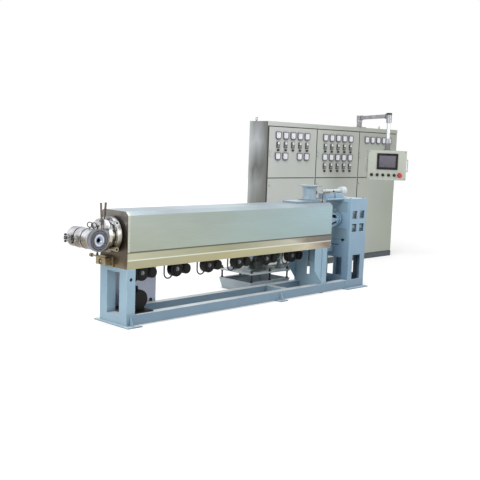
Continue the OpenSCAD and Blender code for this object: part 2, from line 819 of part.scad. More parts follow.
// Lubrication motor and pump tube, and the copper pipe that leaves it
module lube_unit() {
    z = gear_top + 103;
    tube_x0 = deck_x + 10;
    tube_r = 21;
    color([0.86, 0.87, 0.84]) on_line() {
        rod_x(tube_x0, 0, z, tube_r, gear_x - tube_x0 + 60);
        rod_x(tube_x0 + 60, 0, z, tube_r + 5, 34);
        rod_x(gear_x - 40, 0, z, tube_r + 5, 40);
        rod_x(gear_x + 60, 0, z, 56, 90);
        rod_x(gear_x + 150, 0, z, 46, 12);
        for (x = [tube_x0 + 40, gear_x + 20])
            span([x, -18, gear_top + 70], [x + 24, 18, z]);
        span([gear_x + 84, -20, gear_top], [gear_x + 124, 20, z]);
    }
}

module top_boxes() {
    color(blue) on_line() {
        span([deck_x + 20, -70, gear_top], [deck_x + 200, 70, gear_top + 70]);
        span([gear_x - 100, -48, gear_top], [gear_x + 52, 48, gear_top + 70]);
    }
}

module on_head() {
    on_line() translate([-head_x, 0, axis_z]) children();
}

module crosshead_body() {
    back = face_y + head_back - face_t;
    color(steel) on_head() difference() {
        union() {
            rod_y(0, face_t - face_y, 0, head_r - 6, back);
            rod_y(0, head_back, 0, head_r * 0.7, 26);
            rod_x(0, 0, 0, 62, head_x + disc_x0);
        }
        rod_y(0, face_t - face_y - 1, 0, die_r + 4, 61);
    }
}

module crosshead_face() {
    groove = 8;
    color(steel) on_head() difference() {
        union() {
            rod_y(0, -face_y, 0, face_r, face_t - 14);
            rod_y(0, face_t - 14 - face_y, 0, head_r, 14);
        }
        rod_y(0, -face_y - 1, 0, die_r, face_t + 2);
        rotate([-90, 0, 0]) rotate_extrude() polygon([[face_r * 0.50, -face_y - 1], [face_r * 0.56, -face_y - 1],
            [face_r * 0.56, groove - face_y], [face_r * 0.50, groove - face_y]]);
        rotate([-90, 0, 0]) rotate_extrude() polygon([[face_r * 0.68, -face_y - 1], [face_r * 0.72, -face_y - 1],
            [face_r * 0.72, groove - face_y], [face_r * 0.68, groove - face_y]]);
        for (a = [20 : 60 : 340])
            rotate([0, a, 0]) rod_y(face_r * 0.80, -face_y - 1, 0, 6, 13);
        rotate([-90, 0, 0]) rotate_extrude() polygon([[0, -face_y - 1], [die_r + 16, -face_y - 1],
            [die_r, 14 - face_y], [0, 14 - face_y]]);
    }
}

// Three heater bands with their raised rims and terminal studs
module crosshead_bands() {
    first = face_t - face_y + 2;
    pitch = (face_y + head_back - face_t) / 3;
    bare = 64;
    color(steel) on_head() difference() {
        for (i = [0 : 2]) {
            rod_y(0, first + i * pitch, 0, head_r, pitch - 10);
            rod_y(0, first + i * pitch, 0, head_r + 4, 8);
            if (i > 0) {
                span([-head_r - 34, first + i * pitch + 20, -16], [-head_r + 8, first + i * pitch + 60, 16]);
                span([-head_r - 34, first + i * pitch + 28, -44], [-head_r - 22, first + i * pitch + 52, 44]);
                for (z = [-1, 1], y = [26, 54])
                    rod_x(-head_r - 60, first + i * pitch + y, z * 9, 5, 34);
                for (z = [-34, 34]) {
                    rod_x(-head_r - 62, first + i * pitch + 40, z, 5, 30);
                    rod_x(-head_r - 72, first + i * pitch + 40, z, 10, 16);
                }
                for (z = [-1, 1], y = [26, 54])
                    rod_x(-head_r - 68, first + i * pitch + y, z * 9, 8, 14);
            }
        }
        rod_y(0, first - 1, 0, head_r - 6 + fit_gap, 3 * pitch + 2);
        rod_x(0, 0, 0, bare, 2 * head_r);
    }
}

// Adapter disc and the six-sided clamp that joins it to the barrel's flange
module crosshead_adapter() {
    bolt_x = disc_x0 + disc_t + clamp_l / 2;
    bolt_r = clamp_l / 2 - 7;
    color(steel) on_line() {
        rod_x(disc_x0, 0, axis_z, disc_r, disc_t);
        rod_x(disc_x0 + disc_t, 0, axis_z, disc_r * 0.72, clamp_l);
        rod_x(disc_x0 + disc_t + 10, 0, axis_z, disc_r * 0.93, clamp_l - 20, 8);
        for (z = [-1, 1]) {
            rod_y(bolt_x, -190, axis_z + z * disc_r * 0.80, bolt_r, 170);
            difference() {
                rod_y(bolt_x, -214, axis_z + z * disc_r * 0.80, bolt_r + 6, 46);
                rod_y(bolt_x, -215, axis_z + z * disc_r * 0.80, bolt_r - 6, 13);
            }
        }
    }
}

module head_flange() {
    color(steel) on_line() difference() {
        rod_x(flange_x0, 0, axis_z, flange_r, flange_t);
        for (a = [22.5 : 45 : 350])
            translate([0, 0, axis_z]) rotate([a, 0, 0]) rod_x(flange_x0 - 1, flange_r - 24, 0, 9, flange_t + 2);
    }
}

// A melt probe, thin at the tip and thick at the head
module melt_probe(x, y, z, h, tilt) {
    translate([x, y, z]) rotate([tilt, 0, 0]) {
        cylinder(r1 = 5, r2 = 10, h = h - 60);
        translate([0, 0, h - 60]) cylinder(r = 10.5, h = 60);
    }
}

// One probe stands on the crosshead's neck in front of the disc, the other on the clamp
module melt_probes() {
    probe_top = 345;
    clamp_r = disc_r * 0.93;
    color([0.50, 0.49, 0.45]) on_line() difference() {
        union() {
            melt_probe(disc_x0 - 13, -50, axis_z + 30, probe_top - 30, -4);
            melt_probe(disc_x0 + disc_t + clamp_l / 2, 14, axis_z + clamp_r - 20, probe_top - clamp_r + 20, 6);
        }
        rod_x(disc_x0 - 100, 0, axis_z, 62 + fit_gap, 99, 128);
        rod_x(disc_x0 + disc_t + 9, 0, axis_z, clamp_r + fit_gap, clamp_l - 18, 8);
    }
}

module centering_bolts() {
    bolt_y = face_t - face_y - 24;
    color(black) on_head() {
        rod_z(0, bolt_y, face_r, 9, 26);
        rod_z(0, bolt_y, face_r + 20, 18, 14);
        rod_z(0, bolt_y, -face_r - 30, 8, 30);
        translate([0, bolt_y, -face_r - 40]) cylinder(r1 = 16, r2 = 9, h = 28);
        for (y = [-306, -234]) {
            rod_z(0, y, head_r, 6, 16);
            translate([0, y, head_r + 10 + 28]) rotate([0, 90, 45])
                rotate_extrude() translate([26, 0]) circle(r = 5, $fn = 24);
        }
    }
}

module die_bracket() {
    z0 = hood_z0;
    color([0.60, 0.57, 0.48]) on_line() difference() {
        union() {
            span([-12, -6, z0], [0, 190, z0 + 112]);
            difference() {
                span([-90, 26, z0 + 20], [-12, 203, z0 + 96]);
                rod_x(-91, 118, z0 + 56, 31, 50);
            }
            rod_x(-86, 118, z0 + 56, 18, 60);
            rod_y(-50, 60, z0 + 96, 22, 120);
            rod_y(-50, 170, z0 + 96, 10, 170);
            rod_y(-50, 330, z0 + 96, 22, 30);
        }
        for (y = [12, 176])
            rod_x(-13, y, z0 + 98, 6, 14);
        rod_x(-13, 12, z0 + 20, 9, 14);
    }
}

module cab_span(a, b) {
    translate([cab_x, cab_y, 0]) span(a, b);
}

module cabinet_shell() {
    color(grey) on_line() difference() {
        cab_span([0, door_t, plinth_h], [cab_l, cab_d, cab_h]);
        cab_span([cab_t, door_t - 1, plinth_h + cab_t], [cab_l - cab_t, cab_d - cab_t, cab_h - cab_t]);
    }
}

// Frame bars behind the doors and the header over them
module cabinet_front() {
    y1 = door_t + 25;
    color(grey) on_line() {
        difference() {
            cab_span([cab_t, door_t, plinth_h + cab_t], [cab_l - cab_t, y1, cab_h - cab_t]);
            for (i = [0 : 2], z = [[plinth_h + bar_w, split_z - bar_w / 2],
                [split_z + bar_w / 2, cab_h - header_h - bar_w / 2]])
                cab_span([i * bay_w + bar_w / 2, door_t - 1, z[0]], [(i + 1) * bay_w - bar_w / 2, y1 + 1, z[1]]);
        }
        cab_span([0, 0, cab_h - header_h], [cab_l, door_t, cab_h]);
    }
}

module cabinet_plinth() {
    color([0.24, 0.29, 0.33]) on_line() difference() {
        cab_span([0, 0, 0], [cab_l, cab_d, plinth_h]);
        cab_span([40, 40, -1], [cab_l - 40, cab_d - 40, plinth_h + 1]);
    }
}

// A door pan of one bay, with a round hinge edge when it moves
module door_pan(i, z0, z1, moves) {
    x0 = i * bay_w + door_gap / 2;
    x1 = (i + 1) * bay_w - door_gap / 2;
    back = moves ? door_t - fit_gap : door_t;
    difference() {
        union() {
            cab_span([x0, 0, z0], [moves ? x1 - hinge_r : x1, back, z1]);
            if (moves)
                translate([cab_x + x1 - hinge_r, cab_y + hinge_r - fit_gap / 2, z0])
                    cylinder(r = hinge_r - fit_gap / 2, h = z1 - z0);
        }
        cab_span([x0 + 20, 3, z0 + 20], [x1 - 32, door_t + 1, z1 - 20]);
        if (moves)
            for (z = [z0 - 1, z1 - 15])
                rod_z(cab_x + x1 - hinge_r, cab_y + hinge_r - fit_gap / 2, z, 4 + fit_gap, 16);
    }
}

module upper_doors() {
    color(grey) on_line() for (i = [0 : 2]) {
        door_pan(i, upper_z0, upper_z1, false);
    }
}

module door_lock(i, z) {
    rod_y(cab_x + i * bay_w + 46, cab_y - 14, z, 15, 14);
}

module lower_door(i) {
    color(grey) on_line() {
        door_pan(i, door_z0, door_z1, true);
        door_lock(i, door_z1 - 100);
    }
}

module lower_door_1() { lower_door(0); }
module lower_door_2() { lower_door(1); }
module lower_door_3() { lower_door(2); }

// Pins that carry the lower doors, on the plinth and on lugs at the joint
module door_pivots() {
    color([0.5, 0.5, 0.5]) on_line() for (i = [1 : 3]) {
        x = cab_x + i * bay_w - door_gap / 2 - hinge_r;
        y = cab_y + hinge_r - fit_gap / 2;
        rod_z(x, y, plinth_h, 4, door_z0 - plinth_h + 12);
        rod_z(x, y, plinth_h, 8, door_z0 - plinth_h - 1);
        rod_z(x, y, door_z1 - 12, 4, 14);
        span([x - 9, cab_y + 2, door_z1 + 1], [x + 9, cab_y + door_t, upper_z0 - 1]);
    }
}

module mounting_plates() {
    gap = 50;
    z0 = plinth_h + plate_margin_z;
    z1 = cab_h - plate_margin_z;
    color([0.75, 0.76, 0.74]) on_line() for (i = [0 : 2]) {
        cab_span([i * bay_w + plate_margin, cab_d - cab_t - gap - 3, z0],
            [(i + 1) * bay_w - plate_margin, cab_d - cab_t - gap, z1]);
        for (x = [1.5 * plate_margin, bay_w - 1.5 * plate_margin], z = [z0 + 50, z1 - 50])
            rod_y(cab_x + i * bay_w + x, cab_y + cab_d - cab_t - gap, z, 10, gap);
    }
}

function columns(i) = [for (c = [-2 : 2]) (i + 0.5) * bay_w + c * meter_pitch - 20];

// Outline of a meter with cut lower corners, drawn in at its sides by t
function meter_outline(t) = [[-meter * 0.22, t * 2.4 - meter / 2], [meter * 0.22, t * 2.4 - meter / 2],
    [meter * 0.42 - t, t - meter * 0.36], [meter / 2 - t, -meter * 0.18], [meter / 2 - t, meter / 2 - t],
    [t - meter / 2, meter / 2 - t], [t - meter / 2, -meter * 0.18], [t - meter * 0.42, t - meter * 0.36]];

module meter_box(x, z) {
    difference() {
        translate([cab_x + x, cab_y, z]) rotate([90, 0, 0]) linear_extrude(18) polygon(meter_outline(0));
        translate([cab_x + x, cab_y - 11, z]) rotate([90, 0, 0]) linear_extrude(8) polygon(meter_outline(10));
    }
}

module controller_box(x, z) {
    span([cab_x + x - controller_w / 2, cab_y - 12, z - controller_h / 2],
        [cab_x + x + controller_w / 2, cab_y, z + controller_h / 2]);
    rod_y(cab_x + x, cab_y - 18, z + controller_h * 0.22, controller_w * 0.32, 10);
}

module selector(x, z) {
    rod_y(cab_x + x, cab_y - 24, z, 17, 24, 24);
}

module panel_instruments() {
    row_a = cab_h - row_drop;
    row_b = row_a - row_pitch;
    color(black) on_line() {
        for (i = [0 : 2], x = columns(i))
            meter_box(x, row_a);
        for (i = [0 : 1], x = columns(i)) {
            controller_box(x, row_a - controller_drop);
            selector(x, row_a - selector_drop);
        }
        for (c = [0, 1, 3, 4])
            meter_box(columns(0)[c], row_b);
        for (x = columns(1)) {
            meter_box(x, row_b);
            controller_box(x, row_b - controller_drop);
            selector(x, row_b - selector_drop);
        }
    }
}

module arm_base() {
    color(grey) on_line() translate([arm_x, arm_y, 0]) {
        span([-90, -90, cab_h], [90, 90, cab_h + 12]);
        rod_z(0, 0, cab_h, 46, arm_rise - hub_drop - fit_gap);
        rod_z(0, 0, cab_h, pin_r, arm_rise - 20);
    }
}

module pendant_arm() {
    color([0.75, 0.77, 0.77]) on_arm() {
        difference() {
            union() {
                rod_z(0, 0, arm_z - hub_drop, 52, hub_drop + 42);
                span([-arm_r, -arm_l, arm_z - arm_r], [arm_r, 0, arm_z + arm_r]);
                rod_y(0, -110, arm_z, arm_r + 16, 60);
                rod_y(0, 60 - arm_l, arm_z, arm_r + 16, 50);
                rod_z(0, -arm_l, panel_top + stem_h, arm_r, arm_z - panel_top - stem_h);
                rod_z(0, -arm_l, arm_z - 110, arm_r + 16, 160);
                rod_z(0, -arm_l, panel_top + stem_h, arm_r + 12, 70);
            }
            rod_z(0, 0, arm_z - hub_drop - 1, pin_r + fit_gap, hub_drop - 15);
        }
    }
}

// Turns a drawing made for an arm straight out from the cabinet to the arm's resting swing
module on_arm() {
    on_line() translate([arm_x, arm_y, 0]) rotate([0, 0, -arm_swing]) children();
}

module on_panel() {
    on_arm() translate([0, -arm_l, 0]) rotate([0, 0, arm_swing - panel_turn]) children();
}

module panel_case() {
    color(grey) on_panel() {
        rod_z(0, 0, panel_top, 44, stem_h - fit_gap);
        rod_z(0, 0, panel_top, 62, 16);
        span([-panel_w / 2, -panel_d / 2, panel_top - panel_h], [panel_w / 2, panel_d / 2, panel_top]);
    }
}

// Screen bezel, selector switches and stop button on the operator panel
module panel_fascia() {
    y = -panel_d / 2;
    switch_z = panel_z + panel_h * 0.17;
    bezel_w = panel_w * 0.272;
    bezel_z0 = panel_z + panel_h * 0.355;
    bezel_z1 = panel_top - panel_h * 0.10;
    rim = 36;
    color(black) on_panel() {
        difference() {
            span([-bezel_w, y - 10, bezel_z0], [bezel_w, y, bezel_z1]);
            span([rim - bezel_w, y - 11, bezel_z0 + rim], [bezel_w - rim, y - 3, bezel_z1 - rim]);
        }
        for (i = [0 : 4])
            rod_y(panel_w * (0.148 * i - 0.395), y - 24, switch_z, 17, 24, 24);
        rod_y(panel_w * 0.335, y - 18, switch_z, 14, 18, 24);
        rod_y(panel_w * 0.335, y - 32, switch_z, 25, 16, 32);
    }
}

module panel_handles() {
    grip = grip_h / 2 - grip_r;
    z = panel_z + panel_h / 2;
    color([0.75, 0.77, 0.77]) on_panel() for (s = [-1, 1]) {
        for (e = [-1, 1])
            rod_x(s > 0 ? panel_w / 2 : -panel_w / 2 - grip_reach, 0, z + e * grip, grip_r, grip_reach, 32);
        rod_z(s * (panel_w / 2 + grip_reach), 0, z - grip_h / 2, grip_r, grip_h, 32);
    }
}

front_stand();
front_foot();
side_plate();
rail_near();
rail_far();
cross_tubes();
rail_feet();
feed_stand();
hood_cover();
hood_tray();
hood_end_front();
hood_end_rear();
hood_trim();
barrel();
screw_shank();
blower_1();
blower_2();
blower_3();
blower_4();
blower_5();
blower_6();
blower_leads();
stand_pump();
motor_base();
motor_slide_plate();
motor_studs();
motor_frame();
motor_bells();
motor_terminal_box();
belt_guard();
lantern();
gearbox_stand();
gearbox_case();
gearbox_foot();
feed_throat();
lube_unit();
top_boxes();
crosshead_body();
crosshead_face();
crosshead_bands();
crosshead_adapter();
head_flange();
melt_probes();
centering_bolts();
die_bracket();
cabinet_shell();
cabinet_front();
cabinet_plinth();
upper_doors();
lower_door_1();
lower_door_2();
lower_door_3();
door_pivots();
mounting_plates();
panel_instruments();
arm_base();
pendant_arm();
panel_case();
panel_fascia();
panel_handles();
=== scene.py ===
import math

import bmesh
import bpy
from mathutils import Matrix, Vector


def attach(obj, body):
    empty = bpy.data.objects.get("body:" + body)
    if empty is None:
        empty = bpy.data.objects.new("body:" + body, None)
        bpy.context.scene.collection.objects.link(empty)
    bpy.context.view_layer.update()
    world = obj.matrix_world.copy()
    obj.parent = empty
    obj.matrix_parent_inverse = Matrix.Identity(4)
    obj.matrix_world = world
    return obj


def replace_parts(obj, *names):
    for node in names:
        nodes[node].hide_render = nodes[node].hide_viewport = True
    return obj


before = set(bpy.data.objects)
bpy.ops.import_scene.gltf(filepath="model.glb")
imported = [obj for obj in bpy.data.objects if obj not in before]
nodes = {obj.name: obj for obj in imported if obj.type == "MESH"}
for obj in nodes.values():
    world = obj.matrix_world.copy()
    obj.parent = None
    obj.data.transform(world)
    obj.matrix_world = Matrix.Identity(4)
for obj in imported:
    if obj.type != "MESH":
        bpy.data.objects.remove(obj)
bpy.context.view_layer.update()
print("frame loaded,", len(nodes), "nodes")


# Tones are given as a picture shows them, red, green and blue from 0 to 255
def linearTone(red, green, blue):
    def linear(value):
        share = value / 255
        return share / 12.92 if share <= 0.04045 else ((share + 0.055) / 1.055) ** 2.4
    return (linear(red), linear(green), linear(blue), 1)


def feed(tree, target, source):
    if isinstance(source, bpy.types.NodeSocket):
        tree.links.new(source, target)
    else:
        target.default_value = source


def startMaterial(name):
    material = bpy.data.materials.new(name)
    material.use_nodes = True
    tree = material.node_tree
    return material, tree, tree.nodes["Principled BSDF"]


def objectPoint(tree):
    return tree.nodes.new("ShaderNodeTexCoord").outputs["Object"]


def axisValue(tree, axis):
    parts = tree.nodes.new("ShaderNodeSeparateXYZ")
    feed(tree, parts.inputs[0], objectPoint(tree))
    return parts.outputs[axis]


def noise(tree, frequency, detail=3, distortion=0.0, shift=(0, 0, 0)):
    mapping = tree.nodes.new("ShaderNodeMapping")
    feed(tree, mapping.inputs["Vector"], objectPoint(tree))
    mapping.inputs["Scale"].default_value = frequency
    mapping.inputs["Location"].default_value = shift
    texture = tree.nodes.new("ShaderNodeTexNoise")
    feed(tree, texture.inputs["Vector"], mapping.outputs["Vector"])
    texture.inputs["Scale"].default_value = 1
    texture.inputs["Detail"].default_value = detail
    texture.inputs["Distortion"].default_value = distortion
    return texture.outputs["Fac"]


def spread(tree, value, low, high, outLow=0.0, outHigh=1.0):
    ranged = tree.nodes.new("ShaderNodeMapRange")
    feed(tree, ranged.inputs["Value"], value)
    ranged.inputs["From Min"].default_value = low
    ranged.inputs["From Max"].default_value = high
    ranged.inputs["To Min"].default_value = outLow
    ranged.inputs["To Max"].default_value = outHigh
    return ranged.outputs["Result"]


def combine(tree, first, second, way="MULTIPLY"):
    maths = tree.nodes.new("ShaderNodeMath")
    maths.operation = way
    feed(tree, maths.inputs[0], first)
    feed(tree, maths.inputs[1], second)
    return maths.outputs[0]


def mixTone(tree, share, first, second):
    mix = tree.nodes.new("ShaderNodeMix")
    mix.data_type = "RGBA"
    feed(tree, mix.inputs[0], share)
    for place, colour in ((6, first), (7, second)):
        feed(tree, mix.inputs[place], linearTone(*colour) if isinstance(colour, tuple) else colour)
    return mix.outputs[2]


def rampOf(tree, value, stops):
    ramp = tree.nodes.new("ShaderNodeValToRGB")
    feed(tree, ramp.inputs["Fac"], value)
    points = ramp.color_ramp.elements
    while len(points) < len(stops):
        points.new(0.5)
    for point, (place, colour) in zip(points, stops):
        point.position = place
        point.color = linearTone(*colour)
    return ramp.outputs["Color"]


def facing(tree, axis):
    parts = tree.nodes.new("ShaderNodeSeparateXYZ")
    feed(tree, parts.inputs[0], tree.nodes.new("ShaderNodeTexCoord").outputs["Normal"])
    return parts.outputs[axis]


# A line across a surface, that fades out towards its reach
def nearTo(tree, value, middle, reach, inner=0.7, share=1.0):
    away = combine(tree, combine(tree, value, middle, "SUBTRACT"), 0, "ABSOLUTE")
    return spread(tree, away, reach, reach * inner, 0.0, share)


def waver(tree, value, frequency, reach, detail=3):
    shift = spread(tree, noise(tree, frequency, detail=detail), 0.3, 0.7, -reach, reach)
    return combine(tree, value, shift, "ADD")


# Distance from a line along one axis, such as the crosshead's
def lineDistance(tree, centre, ignored):
    keep = [0 if axis == ignored else 1 for axis in range(3)]
    flat = tree.nodes.new("ShaderNodeVectorMath")
    flat.operation = "MULTIPLY"
    feed(tree, flat.inputs[0], objectPoint(tree))
    flat.inputs[1].default_value = keep
    apart = tree.nodes.new("ShaderNodeVectorMath")
    apart.operation = "DISTANCE"
    feed(tree, apart.inputs[0], flat.outputs["Vector"])
    apart.inputs[1].default_value = [value * share for value, share in zip(centre, keep)]
    return apart.outputs["Value"]


# Share of open space round a point: low in corners, or at sharp edges when looked at from inside
def openness(tree, distance, inside):
    probe = tree.nodes.new("ShaderNodeAmbientOcclusion")
    probe.samples = 6
    probe.inside = inside
    probe.inputs["Distance"].default_value = distance
    return probe.outputs["AO"]


def addBump(tree, shader, height, strength, distance):
    bump = tree.nodes.new("ShaderNodeBump")
    bump.inputs["Strength"].default_value = strength
    bump.inputs["Distance"].default_value = distance
    feed(tree, bump.inputs["Height"], height)
    feed(tree, shader.inputs["Normal"], bump.outputs["Normal"])


def finishSheet(tree, shader, colour, metal, polish, grain, depth):
    feed(tree, shader.inputs["Base Color"], colour)
    shader.inputs["Metallic"].default_value = metal
    feed(tree, shader.inputs["Roughness"], polish)
    addBump(tree, shader, grain, depth, 0.0005)


# Sprayed machine paint: patches, a painted highlight with dust on what faces up, dust near the floor,
# painted shade with dirt in corners, rubbed edges, orange peel
paintDefaults = {"patch": 2.4, "rough": (0.30, 0.46), "dustTop": 0.3, "dust": None, "dustShare": 0.3,
                 "grime": 0.4, "worn": None, "wornShare": 0.5, "peel": 0.10, "peelSize": 260,
                 "specular": 0.5, "tops": None, "topShare": 0.9, "along": None, "part": None}


def makePaint(name, **chosen):
    look = {**paintDefaults, **chosen}
    material, tree, shader = startMaterial(name)
    patches = noise(tree, [look["patch"]] * 3, detail=5)
    colour = mixTone(tree, spread(tree, patches, 0.36, 0.66), look["tone"], look["shade"])
    # painted shade that grows along x, as on the cabinet towards its right end
    if look["along"]:
        start, end, second = look["along"]
        colour = mixTone(tree, spread(tree, axisValue(tree, 0), start, end), colour, second)
    if look["tops"]:  # a painted highlight on what faces up, mixed with dust
        sheenAndDust = spread(tree, noise(tree, (4, 4, 4), detail=4, shift=(6, 6, 2)), 0.3, 0.6, 0.6, 1.0)
        share = combine(tree, spread(tree, facing(tree, 2), 0.7, 0.95, 0.0, look["topShare"]), sheenAndDust)
        colour = mixTone(tree, share, colour, look["tops"])
    if look["dust"]:
        height = spread(tree, axisValue(tree, 2), look["dustTop"], 0.0, 0.0, look["dustShare"])
        specks = spread(tree, noise(tree, (7, 7, 9), detail=6), 0.35, 0.75)
        colour = mixTone(tree, combine(tree, height, specks), colour, look["dust"])
    # a second tone on part of the surface: painted shade on the frame and in the cabinet's door gaps, the
    # socket's own grey on the panel
    if look["part"]:
        where, partTone = look["part"]
        colour = mixTone(tree, where(tree), colour, partTone)
    # painted shade in corners, found by the occlusion probe, with a smear of dirt
    corner = spread(tree, openness(tree, 0.05, False), 1.0, 0.35, 0.0, look["grime"])
    smear = spread(tree, noise(tree, (11, 11, 5), detail=4, shift=(3, 1, 7)), 0.3, 0.7, 0.4, 1.0)
    colour = mixTone(tree, combine(tree, corner, smear), colour, (58, 62, 62))
    if look["worn"]:
        edge = spread(tree, openness(tree, 0.006, True), 0.95, 0.55)
        rub = spread(tree, noise(tree, (9, 9, 9), detail=6, shift=(5, 5, 5)), 0.45, 0.62)
        share = combine(tree, combine(tree, edge, rub), look["wornShare"])
        colour = mixTone(tree, share, colour, look["worn"])
    feed(tree, shader.inputs["Base Color"], colour)
    gloss = noise(tree, (5, 5, 6), detail=5, shift=(9, 2, 4))
    feed(tree, shader.inputs["Roughness"], spread(tree, gloss, 0.3, 0.7, *look["rough"]))
    shader.inputs["Specular IOR Level"].default_value = look["specular"]
    addBump(tree, shader, noise(tree, [look["peelSize"]] * 3, detail=2), look["peel"], 0.0012)
    return material


# Bare metal: two tones in long or round grain, stains, and a polish that varies
steelDefaults = {"grain": (6, 260, 260), "grainDepth": 0.10, "metal": 0.85, "rough": (0.24, 0.42),
                 "patch": 3.0, "stain": None, "stainSize": 7, "stainShare": 0.5, "grime": 0.45,
                 "turned": None, "blackPart": None, "otherPart": None, "heights": None, "heightShare": 0.65}


def makeSteel(name, **chosen):
    look = {**steelDefaults, **chosen}
    material, tree, shader = startMaterial(name)
    grain = noise(tree, look["grain"], detail=4)
    if look["turned"]:  # rings cut by the lathe round an axis
        rings = tree.nodes.new("ShaderNodeTexNoise")
        rings.noise_dimensions = "1D"
        feed(tree, rings.inputs["W"], lineDistance(tree, *look["turned"]))
        rings.inputs["Scale"].default_value = 420
        rings.inputs["Detail"].default_value = 3
        grain = combine(tree, combine(tree, grain, 0.4), combine(tree, rings.outputs["Fac"], 0.6), "ADD")
    patches = noise(tree, [look["patch"]] * 3, detail=4, shift=(2, 8, 1))
    mixed = combine(tree, combine(tree, grain, 0.45), combine(tree, patches, 0.55), "ADD")
    colour = mixTone(tree, spread(tree, mixed, 0.38, 0.62), look["tone"], look["shade"])
    # a painted highlight high up and painted reflection low down, by height
    if look["heights"]:
        low, high, stops = look["heights"]
        height = spread(tree, axisValue(tree, 2), low, high)
        up = combine(tree, height, spread(tree, patches, 0.3, 0.7, -0.05, 0.05), "ADD")
        colour = mixTone(tree, look["heightShare"], colour, rampOf(tree, up, stops))
    if look["otherPart"]:
        where, otherTone = look["otherPart"]
        colour = mixTone(tree, where(tree), colour, otherTone(tree))
    if look["stain"]:
        spots = noise(tree, [look["stainSize"]] * 3, detail=6, distortion=0.4, shift=(4, 4, 0))
        share = combine(tree, spread(tree, spots, 0.5, 0.72), look["stainShare"])
        colour = mixTone(tree, share, colour, look["stain"])
    # painted shade in corners, found by the occlusion probe, with dirt
    corner = spread(tree, openness(tree, 0.03, False), 1.0, 0.35, 0.0, look["grime"])
    colour = mixTone(tree, corner, colour, (40, 38, 34))
    polish = spread(tree, mixed, 0.35, 0.65, *look["rough"])
    if look["blackPart"]:
        black = look["blackPart"](tree)
        colour = mixTone(tree, black, colour, (30, 30, 32))
        bare = combine(tree, 1.0, black, "SUBTRACT")
        feed(tree, shader.inputs["Metallic"], combine(tree, bare, look["metal"]))
        polish = combine(tree, polish, combine(tree, black, 0.15), "ADD")
    else:
        shader.inputs["Metallic"].default_value = look["metal"]
    feed(tree, shader.inputs["Base Color"], colour)
    feed(tree, shader.inputs["Roughness"], polish)
    addBump(tree, shader, grain, look["grainDepth"], 0.0006)
    return material


# Moulded plastic, rubber and enamel on small parts
def makeMoulded(name, main, second, rough=(0.35, 0.5), depth=0.12, dust=0.25, specular=0.5):
    material, tree, shader = startMaterial(name)
    patches = noise(tree, (12, 12, 12), detail=4)
    colour = mixTone(tree, spread(tree, patches, 0.38, 0.64), main, second)
    film = spread(tree, noise(tree, (26, 26, 18), detail=6, shift=(1, 5, 2)), 0.45, 0.75, 0.0, dust)
    colour = mixTone(tree, film, colour, (120, 116, 106))
    feed(tree, shader.inputs["Base Color"], colour)
    feed(tree, shader.inputs["Roughness"], spread(tree, patches, 0.3, 0.7, *rough))
    shader.inputs["Specular IOR Level"].default_value = specular
    addBump(tree, shader, noise(tree, (420, 420, 420), detail=2), depth, 0.0006)
    return material


# Screen glass with a soft sheen that runs from corner to corner, and nothing shown on it
def makeScreenGlass():
    material, tree, shader = startMaterial("screenGlass")
    slope = combine(tree, axisValue(tree, 2), combine(tree, axisValue(tree, 1), 0.25), "SUBTRACT")
    colour = mixTone(tree, spread(tree, slope, 1.55, 1.8), (78, 74, 84), (106, 102, 114))
    film = spread(tree, noise(tree, (14, 14, 14), detail=5), 0.45, 0.8, 0.0, 0.3)
    feed(tree, shader.inputs["Base Color"], mixTone(tree, film, colour, (116, 114, 122)))
    feed(tree, shader.inputs["Roughness"], spread(tree, noise(tree, (9, 9, 9)), 0.3, 0.7, 0.12, 0.24))
    return material


# Sheet of the barrel cover and its tray: brushed lengthwise, with a tone that changes along the screw and up
# the sheet: painted reflection on the tray, its own tone with painted reflection on the cover. A painted
# highlight lies on the cover's top edge and along the tray's crease, and painted shade along the joint
hoodLook = {"start": -0.07, "end": 3.44, "joint": 0.816, "crease": 0.73, "shoulder": 1.215, "edge": 0.004}


def hoodSkin(name, heights, lowStops, highStops, metal, rough):
    material, tree, shader = startMaterial(name)
    along = spread(tree, axisValue(tree, 0), hoodLook["start"], hoodLook["end"])
    along = waver(tree, along, (1.6, 1, 7), 0.05)
    grain = noise(tree, (5, 300, 300), detail=4)
    soft = noise(tree, (1.3, 2, 5), detail=3, shift=(7, 0, 3))
    up = spread(tree, axisValue(tree, 2), *heights)
    colour = mixTone(tree, up, rampOf(tree, along, lowStops), rampOf(tree, along, highStops))
    shoulder, edge = hoodLook["shoulder"], hoodLook["edge"]
    # painted highlight on the cover's top, pale and patchy
    top = spread(tree, axisValue(tree, 2), shoulder - edge, shoulder + edge)
    patchy = spread(tree, noise(tree, (1.1, 0.5, 1), detail=2, shift=(0, 3, 6)), 0.34, 0.66)
    colour = mixTone(tree, top, colour, mixTone(tree, patchy, (176, 192, 200), (138, 152, 164)))
    streak = spread(tree, grain, 0.25, 0.75, 0.0, 0.12)
    colour = mixTone(tree, streak, colour, (222, 226, 222))
    cloud = spread(tree, soft, 0.35, 0.7, 0.0, 0.22)
    colour = mixTone(tree, cloud, colour, (140, 146, 136))
    # painted shade along the joint under the cover, and a painted highlight along the tray's crease
    for height, reach, share, line in ((hoodLook["joint"], 0.012, 0.8, (64, 62, 48)),
                                       (hoodLook["crease"], 0.009, 0.75, (220, 224, 214))):
        colour = mixTone(tree, nearTo(tree, axisValue(tree, 2), height, reach, 0.4, share), colour, line)
    polish = spread(tree, combine(tree, grain, soft, "ADD"), 0.7, 1.3, *rough)
    finishSheet(tree, shader, colour, metal, polish, grain, 0.05)
    return material


